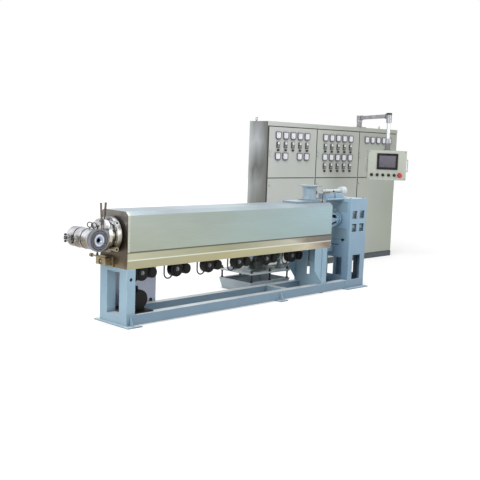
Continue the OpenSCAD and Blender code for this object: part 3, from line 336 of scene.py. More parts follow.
# Die-end plate in painted reflections: grey at its top, brown at the middle, where it mirrors the crosshead,
# and warm below; painted shade in its corners
def endPlateSkin():
    material, tree, shader = startMaterial("endPlateSteel")
    up = waver(tree, spread(tree, axisValue(tree, 2), 0.635, 1.255), (1, 6, 3), 0.08)
    colour = rampOf(tree, up,
                    [(0.0, (120, 106, 74)), (0.16, (76, 64, 46)), (0.45, (64, 56, 46)),
                     (0.70, (84, 76, 68)), (0.88, (112, 108, 106)), (1.0, (120, 118, 116))])
    grain = noise(tree, (300, 300, 5), detail=4)
    colour = mixTone(tree, spread(tree, grain, 0.3, 0.7, 0.0, 0.2), colour, (140, 130, 116))
    corner = spread(tree, openness(tree, 0.05, False), 1.0, 0.35, 0.0, 0.6)
    colour = mixTone(tree, corner, colour, (44, 38, 30))
    finishSheet(tree, shader, colour, 0.7, spread(tree, grain, 0.3, 0.7, 0.2, 0.36), grain, 0.06)
    return material


# The cabinet's sides, the lines between its doors, its rows of instruments and its locks
cabinet = {"left": 3.92, "face": 1.45, "back": 1.87, "top": 2.4, "bay": 1.2, "split": 1.508,
           "doorTop": 2.322, "doorBack": 1.47, "rowA": 2.18, "rowB": 1.85, "pitch": 0.178,
           "lockInset": 0.046, "locks": ((1.94, 0.019), (1.87, 0.012))}
bayLines = [cabinet["left"] + bay * cabinet["bay"] for bay in (1, 2)]
headAxis = (-0.54, 0, 1.0)  # a point on the crosshead's axis, which runs along Y
dieRadius = 0.117
armPivot = (5.875, 0.5494, 0)  # the upright pipe that the panel turns on

# Where a second finish starts and where it is full, along an axis or out from one
fades = {"capX": (-0.693, -0.696), "elbowOut": (0.062, 0.058), "elbowUp": (2.590, 2.594),
         "pipeOut": (0.036, 0.033), "pipeFoot": (2.196, 2.2), "pipeHead": (2.466, 2.462),
         "dieY": (-0.380, -0.386), "rimOut": (0.1068, 0.1078), "railUp": (0.17, 0.12),
         "standX": (3.8, 3.85), "standUp": (1.1, 0.3), "facingAway": (-0.7, -0.9),
         "cabinetY": (1.44, 1.445), "doorFoot": (0.1, 0.105), "neckY": (1.2, 1.1),
         "neckUp": (2.006, 2.010)}


# Cabinet side: bare sheet in broad soft bands of painted reflection, darker towards the doors and light at
# the back edge; the back is plain, with a line between the bays
def cabinetSideSkin():
    material, tree, shader = startMaterial("cabinetSideSheet")
    up = waver(tree, spread(tree, axisValue(tree, 2), 0.1, cabinet["top"]), (0.2, 3, 0.6), 0.08, detail=2)
    colour = rampOf(tree, up,
                    [(0.0, (96, 98, 88)), (0.42, (88, 90, 80)), (0.60, (140, 144, 144)),
                     (0.70, (92, 94, 94)), (0.86, (176, 180, 184)), (1.0, (130, 134, 134))])
    across = spread(tree, axisValue(tree, 1), cabinet["doorBack"], cabinet["back"])
    reflectedAcross = mixTone(tree, spread(tree, across, 0.0, 0.5), (96, 98, 92), colour)
    colour = mixTone(tree, spread(tree, across, 0.75, 1.0, 0.0, 0.6), reflectedAcross, (196, 200, 200))
    rear = spread(tree, facing(tree, 1), 0.7, 0.9)
    patches = noise(tree, (0.8, 0.8, 0.8), detail=4)
    plain = mixTone(tree, spread(tree, patches, 0.36, 0.66), (166, 169, 166), (154, 157, 154))
    for x in bayLines:
        plain = mixTone(tree, nearTo(tree, axisValue(tree, 0), x, 0.006), plain, (66, 70, 66))
    colour = mixTone(tree, rear, colour, plain)
    grain = noise(tree, (240, 240, 4), detail=4)
    colour = mixTone(tree, spread(tree, grain, 0.3, 0.7, 0.0, 0.16), colour, (210, 212, 208))
    finishSheet(tree, shader, colour, 0.7, spread(tree, grain, 0.3, 0.7, 0.3, 0.46), grain, 0.05)
    return material


def blackKnobs(tree):  # the caps on the heater bands' studs
    return spread(tree, axisValue(tree, 0), *fades["capX"])


def blackElbow(tree):  # the cap on the arm's outer elbow
    near = spread(tree, lineDistance(tree, armPivot, 2), *fades["elbowOut"])
    return combine(tree, near, spread(tree, axisValue(tree, 2), *fades["elbowUp"]))


def brightPipe(tree):  # the polished pipe between the arm's elbow and the panel
    near = spread(tree, lineDistance(tree, armPivot, 2), *fades["pipeOut"])
    height = axisValue(tree, 2)
    above, below = spread(tree, height, *fades["pipeFoot"]), spread(tree, height, *fades["pipeHead"])
    return combine(tree, near, combine(tree, above, below))


def brightSteel(tree):
    return mixTone(tree, noise(tree, (30, 30, 4)), (196, 198, 204), (222, 224, 228))


def dieFront(tree):
    return combine(tree, spread(tree, axisValue(tree, 1), *fades["dieY"]), 0.85)


def dieRings(tree):  # the turned steps of the die's face, from its outlet to its rim, with painted shade in its bore and grooves and a painted highlight on its polished ring
    radius = combine(tree, lineDistance(tree, headAxis, 1), dieRadius, "DIVIDE")
    return rampOf(tree, radius, [
        (0.0, (36, 44, 70)), (0.17, (50, 58, 80)), (0.21, (158, 166, 182)),
        (0.36, (146, 154, 170)), (0.40, (204, 212, 230)), (0.48, (190, 198, 214)),
        (0.56, (160, 168, 178)), (0.60, (26, 26, 32)), (0.65, (26, 26, 32)),
        (0.68, (124, 124, 120)), (0.76, (118, 118, 114)), (0.79, (22, 22, 28)),
        (0.84, (22, 22, 28)), (0.87, (98, 98, 108)), (0.96, (104, 104, 114)),
        (1.0, (132, 134, 142))])


def bandRims(tree):
    return spread(tree, lineDistance(tree, headAxis, 1), *fades["rimOut"], 0.0, 0.85)


def frameShade(tree):  # painted shade on the rails' near sides low down, and on the gearbox stand, darker towards the floor
    low = spread(tree, axisValue(tree, 2), *fades["railUp"])
    side = combine(tree, low, spread(tree, facing(tree, 1), *fades["facingAway"]))
    nearFaces = spread(tree, facing(tree, 1), *fades["facingAway"], 0.0, 0.64)
    outer = combine(tree, nearFaces, spread(tree, facing(tree, 0), *fades["facingAway"]), "MAXIMUM")
    rear = combine(tree, spread(tree, axisValue(tree, 0), *fades["standX"]), outer)
    height = spread(tree, axisValue(tree, 2), *fades["standUp"], 0.0, 0.7)
    return combine(tree, combine(tree, side, 0.6), combine(tree, rear, height), "MAXIMUM")


def doorLines(tree):  # painted shade in the gaps round the cabinet's doors
    lines = nearTo(tree, axisValue(tree, 0), cabinet["left"] + 0.006, 0.009)
    for x in bayLines:
        lines = combine(tree, lines, nearTo(tree, axisValue(tree, 0), x, 0.013), "MAXIMUM")
    height, top = axisValue(tree, 2), cabinet["doorTop"]
    above, below = spread(tree, height, *fades["doorFoot"]), spread(tree, height, top + 0.004, top)
    lines = combine(tree, lines, combine(tree, above, below))
    for z in (cabinet["split"], top):
        lines = combine(tree, lines, nearTo(tree, height, z, 0.009), "MAXIMUM")
    onCabinet = combine(tree, spread(tree, axisValue(tree, 1), *fades["cabinetY"]), 0.85)
    return combine(tree, lines, onCabinet)


def panelNeck(tree):  # the socket on top of the panel
    ahead = spread(tree, axisValue(tree, 1), *fades["neckY"])
    return combine(tree, ahead, spread(tree, axisValue(tree, 2), *fades["neckUp"]))


def wholePaint(node, material):
    nodes[node].data.materials.clear()
    nodes[node].data.materials.append(material)


# the frame's blue: a painted highlight with dust on its tops, and painted shade from frameShade
blueTones = {"tone": (146, 176, 194), "shade": (137, 168, 187), "dust": (168, 172, 168),
             "worn": (206, 218, 224), "wornShare": 0.6, "tops": (238, 244, 248),
             "part": (frameShade, (96, 122, 146))}
stageTones = {**blueTones, "tone": (150, 180, 200), "shade": (141, 172, 194), "topShare": 0.5}
sideTones = {**blueTones, "tone": (198, 206, 226), "shade": (186, 196, 218)}
framePaint = makePaint("framePaint", **blueTones)
stagePaint = makePaint("gearStagePaint", **stageTones)
sideSheetPaint = makePaint("sideSheetPaint", **sideTones)
postPaint = makePaint("postPaint", tone=(158, 160, 160), shade=(130, 132, 132), patch=6, grime=0.6)
# the screw shank in a pale blue: painted light that lifts the shade inside the lantern
shankPaint = makePaint("shankPaint", tone=(150, 176, 196), shade=(128, 154, 174), patch=6, grime=0.5)
palePaint = makePaint("paleEnamel", tone=(212, 220, 222), shade=(198, 208, 212), grime=0.5,
                      worn=(160, 164, 164))
# cabinet paint: painted shade towards its right end, and painted shade in the door gaps
cabinetPaint = makePaint("cabinetPaint", tone=(202, 205, 201), shade=(196, 199, 194), patch=0.8,
                         along=(3.9, 7.6, (168, 174, 162)), part=(doorLines, (66, 72, 66)),
                         rough=(0.34, 0.5), peel=0.16, peelSize=330, grime=0.55, dust=(168, 168, 160))
casePanelPaint = makePaint("casePanelPaint", tone=(184, 188, 178), shade=(176, 181, 170), patch=2,
                           part=(panelNeck, (112, 112, 114)), rough=(0.34, 0.5), peel=0.16, peelSize=330)
plinthPaint = makePaint("plinthPaint", tone=(62, 74, 84), shade=(52, 63, 72), grime=0.5,
                        dust=(120, 124, 124), dustTop=0.08, worn=(110, 118, 122))
motorPaint = makePaint("motorPaint", tone=(112, 128, 122), shade=(96, 112, 108), patch=5, grime=0.6,
                       worn=(160, 170, 164))
bellPaint = makePaint("motorBellPaint", tone=(192, 206, 214), shade=(178, 194, 204), patch=4,
                      grime=0.5, worn=(150, 158, 160), tops=(232, 240, 244))
terminalPaint = makePaint("terminalPaint", tone=(52, 66, 60), shade=(40, 54, 50), patch=8,
                          worn=(110, 122, 114))
casePaint = makePaint("casePaint", tone=(140, 166, 178), shade=(126, 152, 166), patch=4, grime=0.4)
blackEnamel = makePaint("blackEnamel", tone=(15, 15, 17), shade=(9, 9, 11), patch=9, grime=0.2,
                        rough=(0.36, 0.52), worn=(74, 74, 76), wornShare=0.3, peel=0.2, peelSize=300,
                        specular=0.16)
stopRed = makePaint("stopRed", tone=(206, 44, 34), shade=(188, 36, 28), patch=9, grime=0.2,
                    rough=(0.22, 0.34), peel=0.05)
# a darker copy of the frame's blue: painted shade inside the gearbox stand
linerPaint = makePaint("linerPaint", tone=(96, 116, 124), shade=(82, 100, 108), patch=4, grime=0.6)
coverSides = cabinetSideSkin()
trimSteel = makeSteel("trimSteel", tone=(188, 190, 180), shade=(164, 166, 154), grain=(200, 200, 6))
zincSteel = makeSteel("zincSheet", tone=(196, 200, 198), shade=(168, 174, 172), grain=(26, 26, 26),
                      rough=(0.36, 0.55))
turnedSteel = makeSteel("turnedSteel", tone=(136, 142, 150), shade=(102, 106, 114),
                        grain=(14, 14, 14), turned=(headAxis, 1), stain=(84, 82, 82), stainSize=14,
                        stainShare=0.45, rough=(0.2, 0.4), otherPart=(dieFront, dieRings))
# heater bands by height: painted reflection low down, a painted highlight high up
bandHeights = [(0.0, (76, 62, 42)), (0.3, (118, 104, 78)), (0.5, (150, 144, 128)),
               (0.70, (244, 246, 252)), (0.88, (222, 226, 236)), (1.0, (150, 152, 158))]
bandSteel = makeSteel("heaterBandSteel", tone=(168, 166, 154), shade=(132, 126, 108),
                      grain=(180, 20, 20), stain=(96, 80, 56), stainSize=12, stainShare=0.6,
                      rough=(0.24, 0.42), blackPart=blackKnobs, otherPart=(bandRims, brightSteel),
                      heights=(0.894, 1.106, bandHeights), heightShare=0.8)
# flange by height: painted reflection low down, a painted highlight high up
flangeHeights = [(0.0, (110, 96, 72)), (0.25, (158, 146, 118)), (0.5, (196, 194, 184)),
                 (0.82, (236, 240, 248)), (1.0, (176, 178, 184))]
flangeSteel = makeSteel("flangeSteel", tone=(184, 182, 174), shade=(130, 122, 106),
                        grain=(30, 30, 30), turned=((0, 0, 1.0), 0), stain=(84, 70, 50), stainSize=9,
                        stainShare=0.6, rough=(0.2, 0.38), heights=(0.81, 1.19, flangeHeights))
barrelSteel = makeSteel("barrelSteel", tone=(104, 104, 106), shade=(84, 84, 86), grain=(200, 20, 20))
probeSteel = makeSteel("probeSteel", tone=(112, 104, 94), shade=(88, 80, 72), grain=(120, 120, 20))
bracketSteel = makeSteel("bracketSteel", tone=(182, 170, 136), shade=(142, 130, 102),
                         grain=(60, 60, 60), stain=(96, 58, 36), stainSize=12, stainShare=0.6,
                         rough=(0.34, 0.55), metal=0.7)
throatPaint = makePaint("throatPaint", tone=(150, 170, 184), shade=(130, 150, 164), patch=5,
                        grime=0.7, rough=(0.24, 0.36), tops=(206, 220, 228))
studSteel = makeSteel("studSteel", tone=(54, 54, 56), shade=(34, 34, 36), metal=0.6,
                      rough=(0.3, 0.5))
smallPart = {"grain": (60, 60, 60), "patch": 20}
boltSteel = makeSteel("boltSteel", tone=(170, 172, 172), shade=(130, 132, 134), **smallPart)
ringSteel = makeSteel("ringSteel", tone=(206, 208, 210), shade=(172, 174, 178), **smallPart)
nutSteel = makeSteel("nutSteel", tone=(128, 128, 130), shade=(92, 92, 96), **smallPart)
copperPipe = makeSteel("copperPipe", tone=(128, 104, 88), shade=(98, 78, 66), grain=(30, 30, 30),
                       stain=(84, 66, 54), patch=12)
armSteel = makeSteel("armTube", tone=(176, 178, 182), shade=(128, 130, 136), grain=(120, 6, 120),
                     rough=(0.26, 0.42), metal=0.7, patch=5, blackPart=blackElbow,
                     otherPart=(brightPipe, brightSteel))
handleSteel = makeSteel("handleSteel", tone=(206, 208, 206), shade=(172, 174, 172),
                        grain=(60, 60, 60))
blackPlastic = makeMoulded("blackPlastic", (26, 26, 29), (18, 18, 20), dust=0.12, specular=0.2)
meterFrame = makeMoulded("meterFrame", (112, 114, 124), (92, 95, 106), rough=(0.25, 0.4))
instrumentBlack = makeMoulded("instrumentBlack", (52, 54, 58), (40, 42, 46), rough=(0.3, 0.45))
leadRubber = makeMoulded("leadRubber", (44, 44, 48), (34, 34, 38), dust=0.15, specular=0.3)
gasketRubber = makeMoulded("gasketRubber", (52, 48, 46), (40, 38, 36), rough=(0.6, 0.75))
scaleGrey = makeMoulded("scaleGrey", (196, 198, 208), (180, 182, 194))
meterWhite = makeMoulded("meterWhite", (246, 247, 250), (238, 240, 246), rough=(0.25, 0.4),
                         depth=0.02, dust=0.06)
lampWhite = makeMoulded("lampWhite", (240, 240, 242), (228, 230, 234), rough=(0.15, 0.25),
                        depth=0.02, dust=0.08)
keyGrey = makeMoulded("keyGrey", (142, 150, 148), (124, 132, 130), rough=(0.3, 0.45))
screenGlass = makeScreenGlass()

# tones along the screw: painted reflection on the tray, the cover's own tone with painted reflection on its
# sides
upperStops = [(0.0, (172, 172, 142)), (0.45, (142, 141, 110)), (0.78, (184, 180, 164)),
              (0.86, (120, 106, 92)), (1.0, (84, 74, 68))]
lowerStops = [(0.0, (158, 153, 120)), (0.4, (165, 158, 114)), (0.75, (178, 171, 136)),
              (0.86, (196, 186, 160)), (1.0, (120, 98, 80))]
sideLow = [(0.0, (150, 158, 140)), (0.3, (148, 160, 148)), (0.7, (146, 168, 168)),
           (1.0, (144, 172, 180))]
sideHigh = [(0.0, (156, 164, 154)), (0.3, (142, 154, 147)), (0.7, (144, 166, 168)),
            (1.0, (150, 178, 186))]
coverSkin = hoodSkin("coverSheet", (0.82, 1.12), sideLow, sideHigh, 0.5, (0.34, 0.5))
traySkin = hoodSkin("traySheet", (0.724, 0.736), lowerStops, upperStops, 0.6, (0.28, 0.44))
endPlate = endPlateSkin()
print("materials ready")

finishes = {
    sideSheetPaint: ["side_plate"],
    postPaint: ["arm_base"],
    shankPaint: ["screw_shank"],
    framePaint: ["front_stand", "front_foot", "rail_near", "rail_far", "cross_tubes",
                 "rail_feet", "feed_stand", "belt_guard"],
    stagePaint: ["gearbox_stand", "gearbox_foot", "lantern", "top_boxes"],
    palePaint: ["lube_unit", "motor_slide_plate"],
    bellPaint: ["motor_bells", "motor_base"],
    coverSkin: ["hood_cover", "hood_end_rear"],
    traySkin: ["hood_tray"],
    endPlate: ["hood_end_front"],
    coverSides: ["cabinet_shell"],
    trimSteel: ["hood_trim"],
    barrelSteel: ["barrel"],
    blackEnamel: ["blower_1", "blower_2", "blower_3", "blower_4", "blower_5", "blower_6", "stand_pump"],
    leadRubber: ["blower_leads"],
    motorPaint: ["motor_frame"],
    terminalPaint: ["motor_terminal_box"],
    casePaint: ["gearbox_case"],
    throatPaint: ["feed_throat"],
    turnedSteel: ["crosshead_body", "crosshead_face"],
    bandSteel: ["crosshead_bands"],
    flangeSteel: ["crosshead_adapter", "head_flange"],
    probeSteel: ["melt_probes"],
    studSteel: ["motor_studs", "centering_bolts"],
    bracketSteel: ["die_bracket"],
    cabinetPaint: ["cabinet_front", "upper_doors", "lower_door_1", "lower_door_2", "lower_door_3"],
    casePanelPaint: ["panel_case"],
    plinthPaint: ["cabinet_plinth"],
    zincSteel: ["door_pivots", "mounting_plates"],
    meterFrame: ["panel_instruments"],
    armSteel: ["pendant_arm"],
    handleSteel: ["panel_handles"],
    blackPlastic: ["panel_fascia"],
}
for material, members in finishes.items():
    for member in members:
        wholePaint(member, material)
print("nodes painted")

# Added pieces: small parts that the solids leave out
axisTurn = {"x": Matrix.Rotation(math.pi / 2, 4, "Y"), "y": Matrix.Rotation(-math.pi / 2, 4, "X"),
            "z": Matrix.Identity(4)}


def addBox(bm, low, high):
    low, high = Vector(low), Vector(high)
    place = Matrix.Translation((low + high) / 2) @ Matrix.Diagonal((*(high - low), 1))
    return bmesh.ops.create_cube(bm, size=1, matrix=place)["verts"]


def addRod(bm, start, axis, radius, length, sides=24):
    place = Matrix.Translation(start) @ axisTurn[axis] @ Matrix.Translation((0, 0, length / 2))
    return bmesh.ops.create_cone(bm, cap_ends=True, segments=sides, radius1=radius, radius2=radius,
                                 depth=length, matrix=place)["verts"]


def addRing(bm, centre, axis, radius, thickness, steps=28):
    section = Matrix.Translation((radius, 0, 0)) @ Matrix.Rotation(math.pi / 2, 4, "X")
    before = set(bm.verts)
    start = bmesh.ops.create_circle(bm, segments=8, radius=thickness, matrix=section)["verts"]
    edges = list({edge for vert in start for edge in vert.link_edges})
    bmesh.ops.spin(bm, geom=start + edges, cent=(0, 0, 0), axis=(0, 0, 1), angle=2 * math.pi, steps=steps,
                   use_merge=True)
    made = [vert for vert in bm.verts if vert not in before]
    bmesh.ops.transform(bm, matrix=Matrix.Translation(centre) @ axisTurn[axis], verts=made)
    return made


def addStrut(bm, first, second, radius, farRadius, sides):
    first, second = Vector(first), Vector(second)
    turn = (second - first).to_track_quat("Z", "Y").to_matrix().to_4x4()
    place = Matrix.Translation((first + second) / 2) @ turn
    bmesh.ops.create_cone(bm, cap_ends=True, segments=sides, radius1=radius, radius2=farRadius,
                          depth=(second - first).length, matrix=place)


def addBall(bm, centre, radius, around=20, up=12):
    bmesh.ops.create_uvsphere(bm, u_segments=around, v_segments=up, radius=radius,
                              matrix=Matrix.Translation(centre))


def addPipe(bm, points, radius, sides=14):
    for first, second in zip(points, points[1:]):
        addStrut(bm, first, second, radius, radius, sides)
        addBall(bm, second, radius, sides, 8)


# Places of a ring of bolts in Y and Z, the first one half a step round
def circleSpots(count, radius, y, z):
    angles = [math.radians((step + 0.5) * 360 / count) for step in range(count)]
    return [(y + math.cos(angle) * radius, z + math.sin(angle) * radius) for angle in angles]


def addObject(name, data):
    made = bpy.data.objects.new(name, data)
    bpy.context.scene.collection.objects.link(made)
    return made


def turnPiece(bm, verts, place, axis, angle):
    bmesh.ops.transform(bm, matrix=Matrix.Translation(place) @ Matrix.Rotation(angle, 4, axis), verts=verts)


def placePiece(name, bm, material, body="root", bevel=0.0, place=None):
    if bevel:
        sharp = [edge for edge in bm.edges if len(edge.link_faces) == 2 and edge.calc_face_angle() > 0.6]
        bmesh.ops.bevel(bm, geom=sharp, offset=bevel, offset_type="OFFSET", affect="EDGES", segments=2,
                        profile=0.5, material=-1, clamp_overlap=True)
    if place is not None:
        bmesh.ops.transform(bm, matrix=place, verts=bm.verts)
    bmesh.ops.recalc_face_normals(bm, faces=bm.faces)
    mesh = bpy.data.meshes.new(name)
    bm.to_mesh(mesh)
    bm.free()
    mesh.materials.append(material)
    mesh.polygons.foreach_set("use_smooth", [True] * len(mesh.polygons))
    mesh.set_sharp_from_angle(angle=0.62)
    piece = addObject(name, mesh)
    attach(piece, body)
    return piece


def columnsOf(bay):
    middle = cabinet["left"] + (bay + 0.5) * cabinet["bay"] - 0.02
    return [middle + step * cabinet["pitch"] for step in range(-2, 3)]


meterSpots = [(x, cabinet["rowA"]) for bay in range(3) for x in columnsOf(bay)]
meterSpots += [(columnsOf(0)[column], cabinet["rowB"]) for column in (0, 1, 3, 4)]
meterSpots += [(x, cabinet["rowB"]) for x in columnsOf(1)]
controllerSpots = [(x, cabinet["rowA"] - 0.145) for bay in (0, 1) for x in columnsOf(bay)]
controllerSpots += [(x, cabinet["rowB"] - 0.145) for x in columnsOf(1)]

meterLook = {"size": 0.126, "inset": 0.0104, "front": 0.0124, "floor": 0.011, "scaleRadius": 0.048,
             "ticks": 5, "hub": -0.022, "needle": 0.046}


def makeMeters():
    faces, marks = bmesh.new(), bmesh.new()
    size, inset = meterLook["size"], meterLook["inset"]
    outline = [(-0.22 * size, inset * 2.4 - size / 2), (0.22 * size, inset * 2.4 - size / 2),
               (0.42 * size - inset, inset - 0.36 * size), (size / 2 - inset, -0.18 * size),
               (size / 2 - inset, size / 2 - inset), (inset - size / 2, size / 2 - inset),
               (inset - size / 2, -0.18 * size), (inset - 0.42 * size, inset - 0.36 * size)]
    y = cabinet["face"] - meterLook["front"]
    thickness = meterLook["front"] - meterLook["floor"]
    for count, (x, z) in enumerate(meterSpots):
        panel = faces.faces.new([faces.verts.new((x + dx, y, z + dz)) for dx, dz in outline])
        grown = bmesh.ops.extrude_face_region(faces, geom=[panel])["geom"]
        back = [item for item in grown if isinstance(item, bmesh.types.BMVert)]
        bmesh.ops.translate(faces, vec=(0, thickness, 0), verts=back)
        hubZ = z + meterLook["hub"]
        for tick in range(meterLook["ticks"]):
            angle = math.radians(30 + tick * 120 / (meterLook["ticks"] - 1))
            mark = addBox(marks, (-0.0007, -0.0006, -0.004), (0.0007, 0.0002, 0.004))
            spot = (x + math.cos(angle) * meterLook["scaleRadius"], y,
                    hubZ + math.sin(angle) * meterLook["scaleRadius"])
            turnPiece(marks, mark, spot, "Y", math.pi / 2 - angle)
        needle = addBox(marks, (-0.0009, -0.0016, 0.0), (0.0009, -0.0008, meterLook["needle"]))
        turnPiece(marks, needle, (x, y, hubZ), "Y", -math.radians(52 - (count * 37) % 24))
        addRod(marks, (x, y - 0.0026, hubZ), "y", 0.005, 0.0026, 20)
    placePiece("meterFaces", faces, meterWhite)
    placePiece("meterMarks", marks, scaleGrey)


# One controller: a lamp over a strip of keys, and a selector knob below it
controllerLook = {"half": 0.0365, "tall": 0.0485, "lampZ": 0.026, "lampRadius": 0.0225, "keyHalf": 0.028,
                  "keyPitch": 0.017, "keyZ": -0.030, "knobZ": -0.081, "knobRadius": 0.0176,
                  "knobFront": 0.0248, "leverTurn": 0.6}


def makeControllers():
    lamps, keys, fronts, levers = [bmesh.new() for count in range(4)]
    look, face = controllerLook, cabinet["face"]
    half, tall, keyHalf, knobY = look["half"], look["tall"], look["keyHalf"], face - look["knobFront"]
    for x, z in controllerSpots:
        lampZ, knobZ = z + look["lampZ"], z + look["knobZ"]
        addRod(lamps, (x, face - 0.0225, lampZ), "y", look["lampRadius"], 0.0035, 32)
        addBox(fronts, (x - half, face - 0.0128, z - tall), (x + half, face - 0.0002, z + tall))
        addRod(fronts, (x, face - 0.0192, lampZ), "y", look["lampRadius"] - 0.001, 0.012, 32)
        addBox(keys, (x - keyHalf, face - 0.0138, z - 0.040), (x + keyHalf, face - 0.0126, z - 0.008))
        for step in (-1, 0, 1):
            keyX = x + step * look["keyPitch"]
            addRod(levers, (keyX, face - 0.0150, z + look["keyZ"]), "y", 0.0045, 0.0014, 16)
        addRod(fronts, (x, knobY, knobZ), "y", look["knobRadius"], 0.0246, 32)
        lever = addBox(levers, (-0.0045, -0.005, -0.0155), (0.0045, 0.0004, 0.0155))
        turnPiece(levers, lever, (x, knobY, knobZ), "Y", look["leverTurn"])
    placePiece("controllerLamps", lamps, lampWhite, bevel=0.0008)
    placePiece("controllerKeys", keys, keyGrey)
    placePiece("controllerCovers", fronts, instrumentBlack, bevel=0.0008)
    placePiece("selectorLevers", levers, blackPlastic, bevel=0.001)


gapStripLook = {"front": 1.4612, "low": 0.109, "high": 2.317, "half": 0.0035, "levelHalf": 0.0045,
              "topZ": 2.324}


# dark rubber strips in the door gaps: gaskets, and painted shade of the gaps
def makeGapStrips():
    strips = bmesh.new()
    left, y0, y1 = cabinet["left"], gapStripLook["front"], cabinet["doorBack"]
    right = left + 3 * cabinet["bay"]
    low, high, half, levelHalf = [gapStripLook[key] for key in ("low", "high", "half", "levelHalf")]
    for x in bayLines:
        addBox(strips, (x - half, y0, low), (x + half, y1, high))
    for z in (cabinet["split"], gapStripLook["topZ"]):
        addBox(strips, (left + 0.004, y0 + 0.002, z - levelHalf), (right - 0.004, y1, z + levelHalf))
    addBox(strips, (left + 0.001, y0 - 0.008, low), (left + 0.0045, y1, high))
    placePiece("doorGapStrips", strips, gasketRubber)


def makeCabinetTrim():
    seams, eyes, locks = bmesh.new(), bmesh.new(), bmesh.new()
    left, face = cabinet["left"], cabinet["face"]
    for x in bayLines:
        addBox(seams, (x - 0.001, face - 0.0004, 2.332), (x + 0.001, face + 0.01, 2.3995))
        addBox(seams, (x - 0.0015, face - 0.0004, 0.002), (x + 0.0015, face + 0.01, 0.094))
    for x in (left + 0.09, left + 3 * cabinet["bay"] - 0.09):
        y = cabinet["back"] - 0.06
        addRod(eyes, (x, y, cabinet["top"]), "z", 0.02, 0.008, 24)
        addRod(eyes, (x, y, cabinet["top"] + 0.008), "z", 0.009, 0.014, 16)
        addRing(eyes, (x, y, cabinet["top"] + 0.040), "y", 0.021, 0.006)
    for bay in range(3):
        x = left + bay * cabinet["bay"] + cabinet["lockInset"]
        for z, radius in cabinet["locks"]:
            addRod(locks, (x, face - 0.012, z), "y", radius, 0.0125, 24)
        slot = bmesh.new()
        addBox(slot, (x - 0.0015, face - 0.0145, 1.394), (x + 0.0015, face - 0.0138, 1.41))
        placePiece("lockSlot%d" % (bay + 1), slot, blackPlastic, "lower_door_%d" % (bay + 1))
    placePiece("baySeams", seams, gasketRubber)
    placePiece("cabinetEyes", eyes, boltSteel)
    placePiece("upperLocks", locks, ringSteel, bevel=0.0015)


panelSpot = {"x": 5.875, "y": 0.54943, "low": 1.516, "high": 2.006, "front": -0.065, "half": 0.32,
             "switchZ": 1.5993, "stopX": 0.2144, "screen": (0.1378, 1.7262, 1.9208),
             "firstSwitch": -0.2528, "switchPitch": 0.09472}
panelPlace = Matrix.Translation((panelSpot["x"], panelSpot["y"], 0)) @ Matrix.Rotation(-math.pi / 4, 4, "Z")


def makePanelPieces():
    front, switchZ, stopX = panelSpot["front"], panelSpot["switchZ"], panelSpot["stopX"]
    screen, stop, levers, marks = bmesh.new(), bmesh.new(), bmesh.new(), bmesh.new()
    wide, low, high = panelSpot["screen"]
    addBox(screen, (-wide, front - 0.0046, low), (wide, front - 0.003, high))
    placePiece("panelScreen", screen, screenGlass, "operator_panel", place=panelPlace)
    addRod(stop, (stopX, front - 0.038, switchZ), "y", 0.032, 0.0235, 40)
    placePiece("stopButton", stop, stopRed, "operator_panel", bevel=0.0045, place=panelPlace)
    for step in range(5):
        x = panelSpot["firstSwitch"] + step * panelSpot["switchPitch"]
        angle = 0.75 if step < 3 else -0.6
        lever = addBox(levers, (-0.006, -0.012, -0.024), (0.006, 0.0004, 0.024))
        turnPiece(levers, lever, (x, front - 0.0242, switchZ), "Y", angle)
        mark = addBox(marks, (-0.0014, -0.0126, 0.004), (0.0014, -0.0116, 0.022))
        turnPiece(marks, mark, (x, front - 0.0242, switchZ), "Y", angle)
        addRod(levers, (x, front - 0.006, switchZ), "y", 0.025, 0.006, 32)
    addRod(levers, (stopX, front - 0.004, switchZ), "y", 0.038, 0.004, 40)
    for x in (-1, 1):
        for z in (panelSpot["low"] + 0.022, panelSpot["high"] - 0.022):
            addRod(marks, (x * (panelSpot["half"] - 0.022), front - 0.003, z), "y", 0.008, 0.0032, 20)
    placePiece("panelLevers", levers, blackPlastic, "operator_panel", bevel=0.001, place=panelPlace)
    placePiece("panelScrewsAndMarks", marks, keyGrey, "operator_panel", place=panelPlace)
    seam = bmesh.new()
    addBox(seam, (-0.3203, front + 0.020, 1.5157), (0.3203, front + 0.0225, 2.0063))
    placePiece("panelSeam", seam, gasketRubber, "operator_panel", place=panelPlace)


head = {"x": headAxis[0], "z": headAxis[2], "disc": -0.25, "flange": -0.16, "flangeBolts": 0.171,
        "discBolts": 0.148, "clampX": -0.186, "clampZ": 0.14, "bandSeams": (-0.346, -0.221, -0.092),
        "clampSeams": (-0.2112, -0.1612), "studX": -0.7054, "studBlocks": (-0.176, -0.047),
        "probes": (((-0.263, -0.0448, 1.1050), (-0.263, -0.0282, 1.3430)),
                   ((-0.186, 0.0089, 1.1929), (-0.186, -0.0070, 1.3430)))}


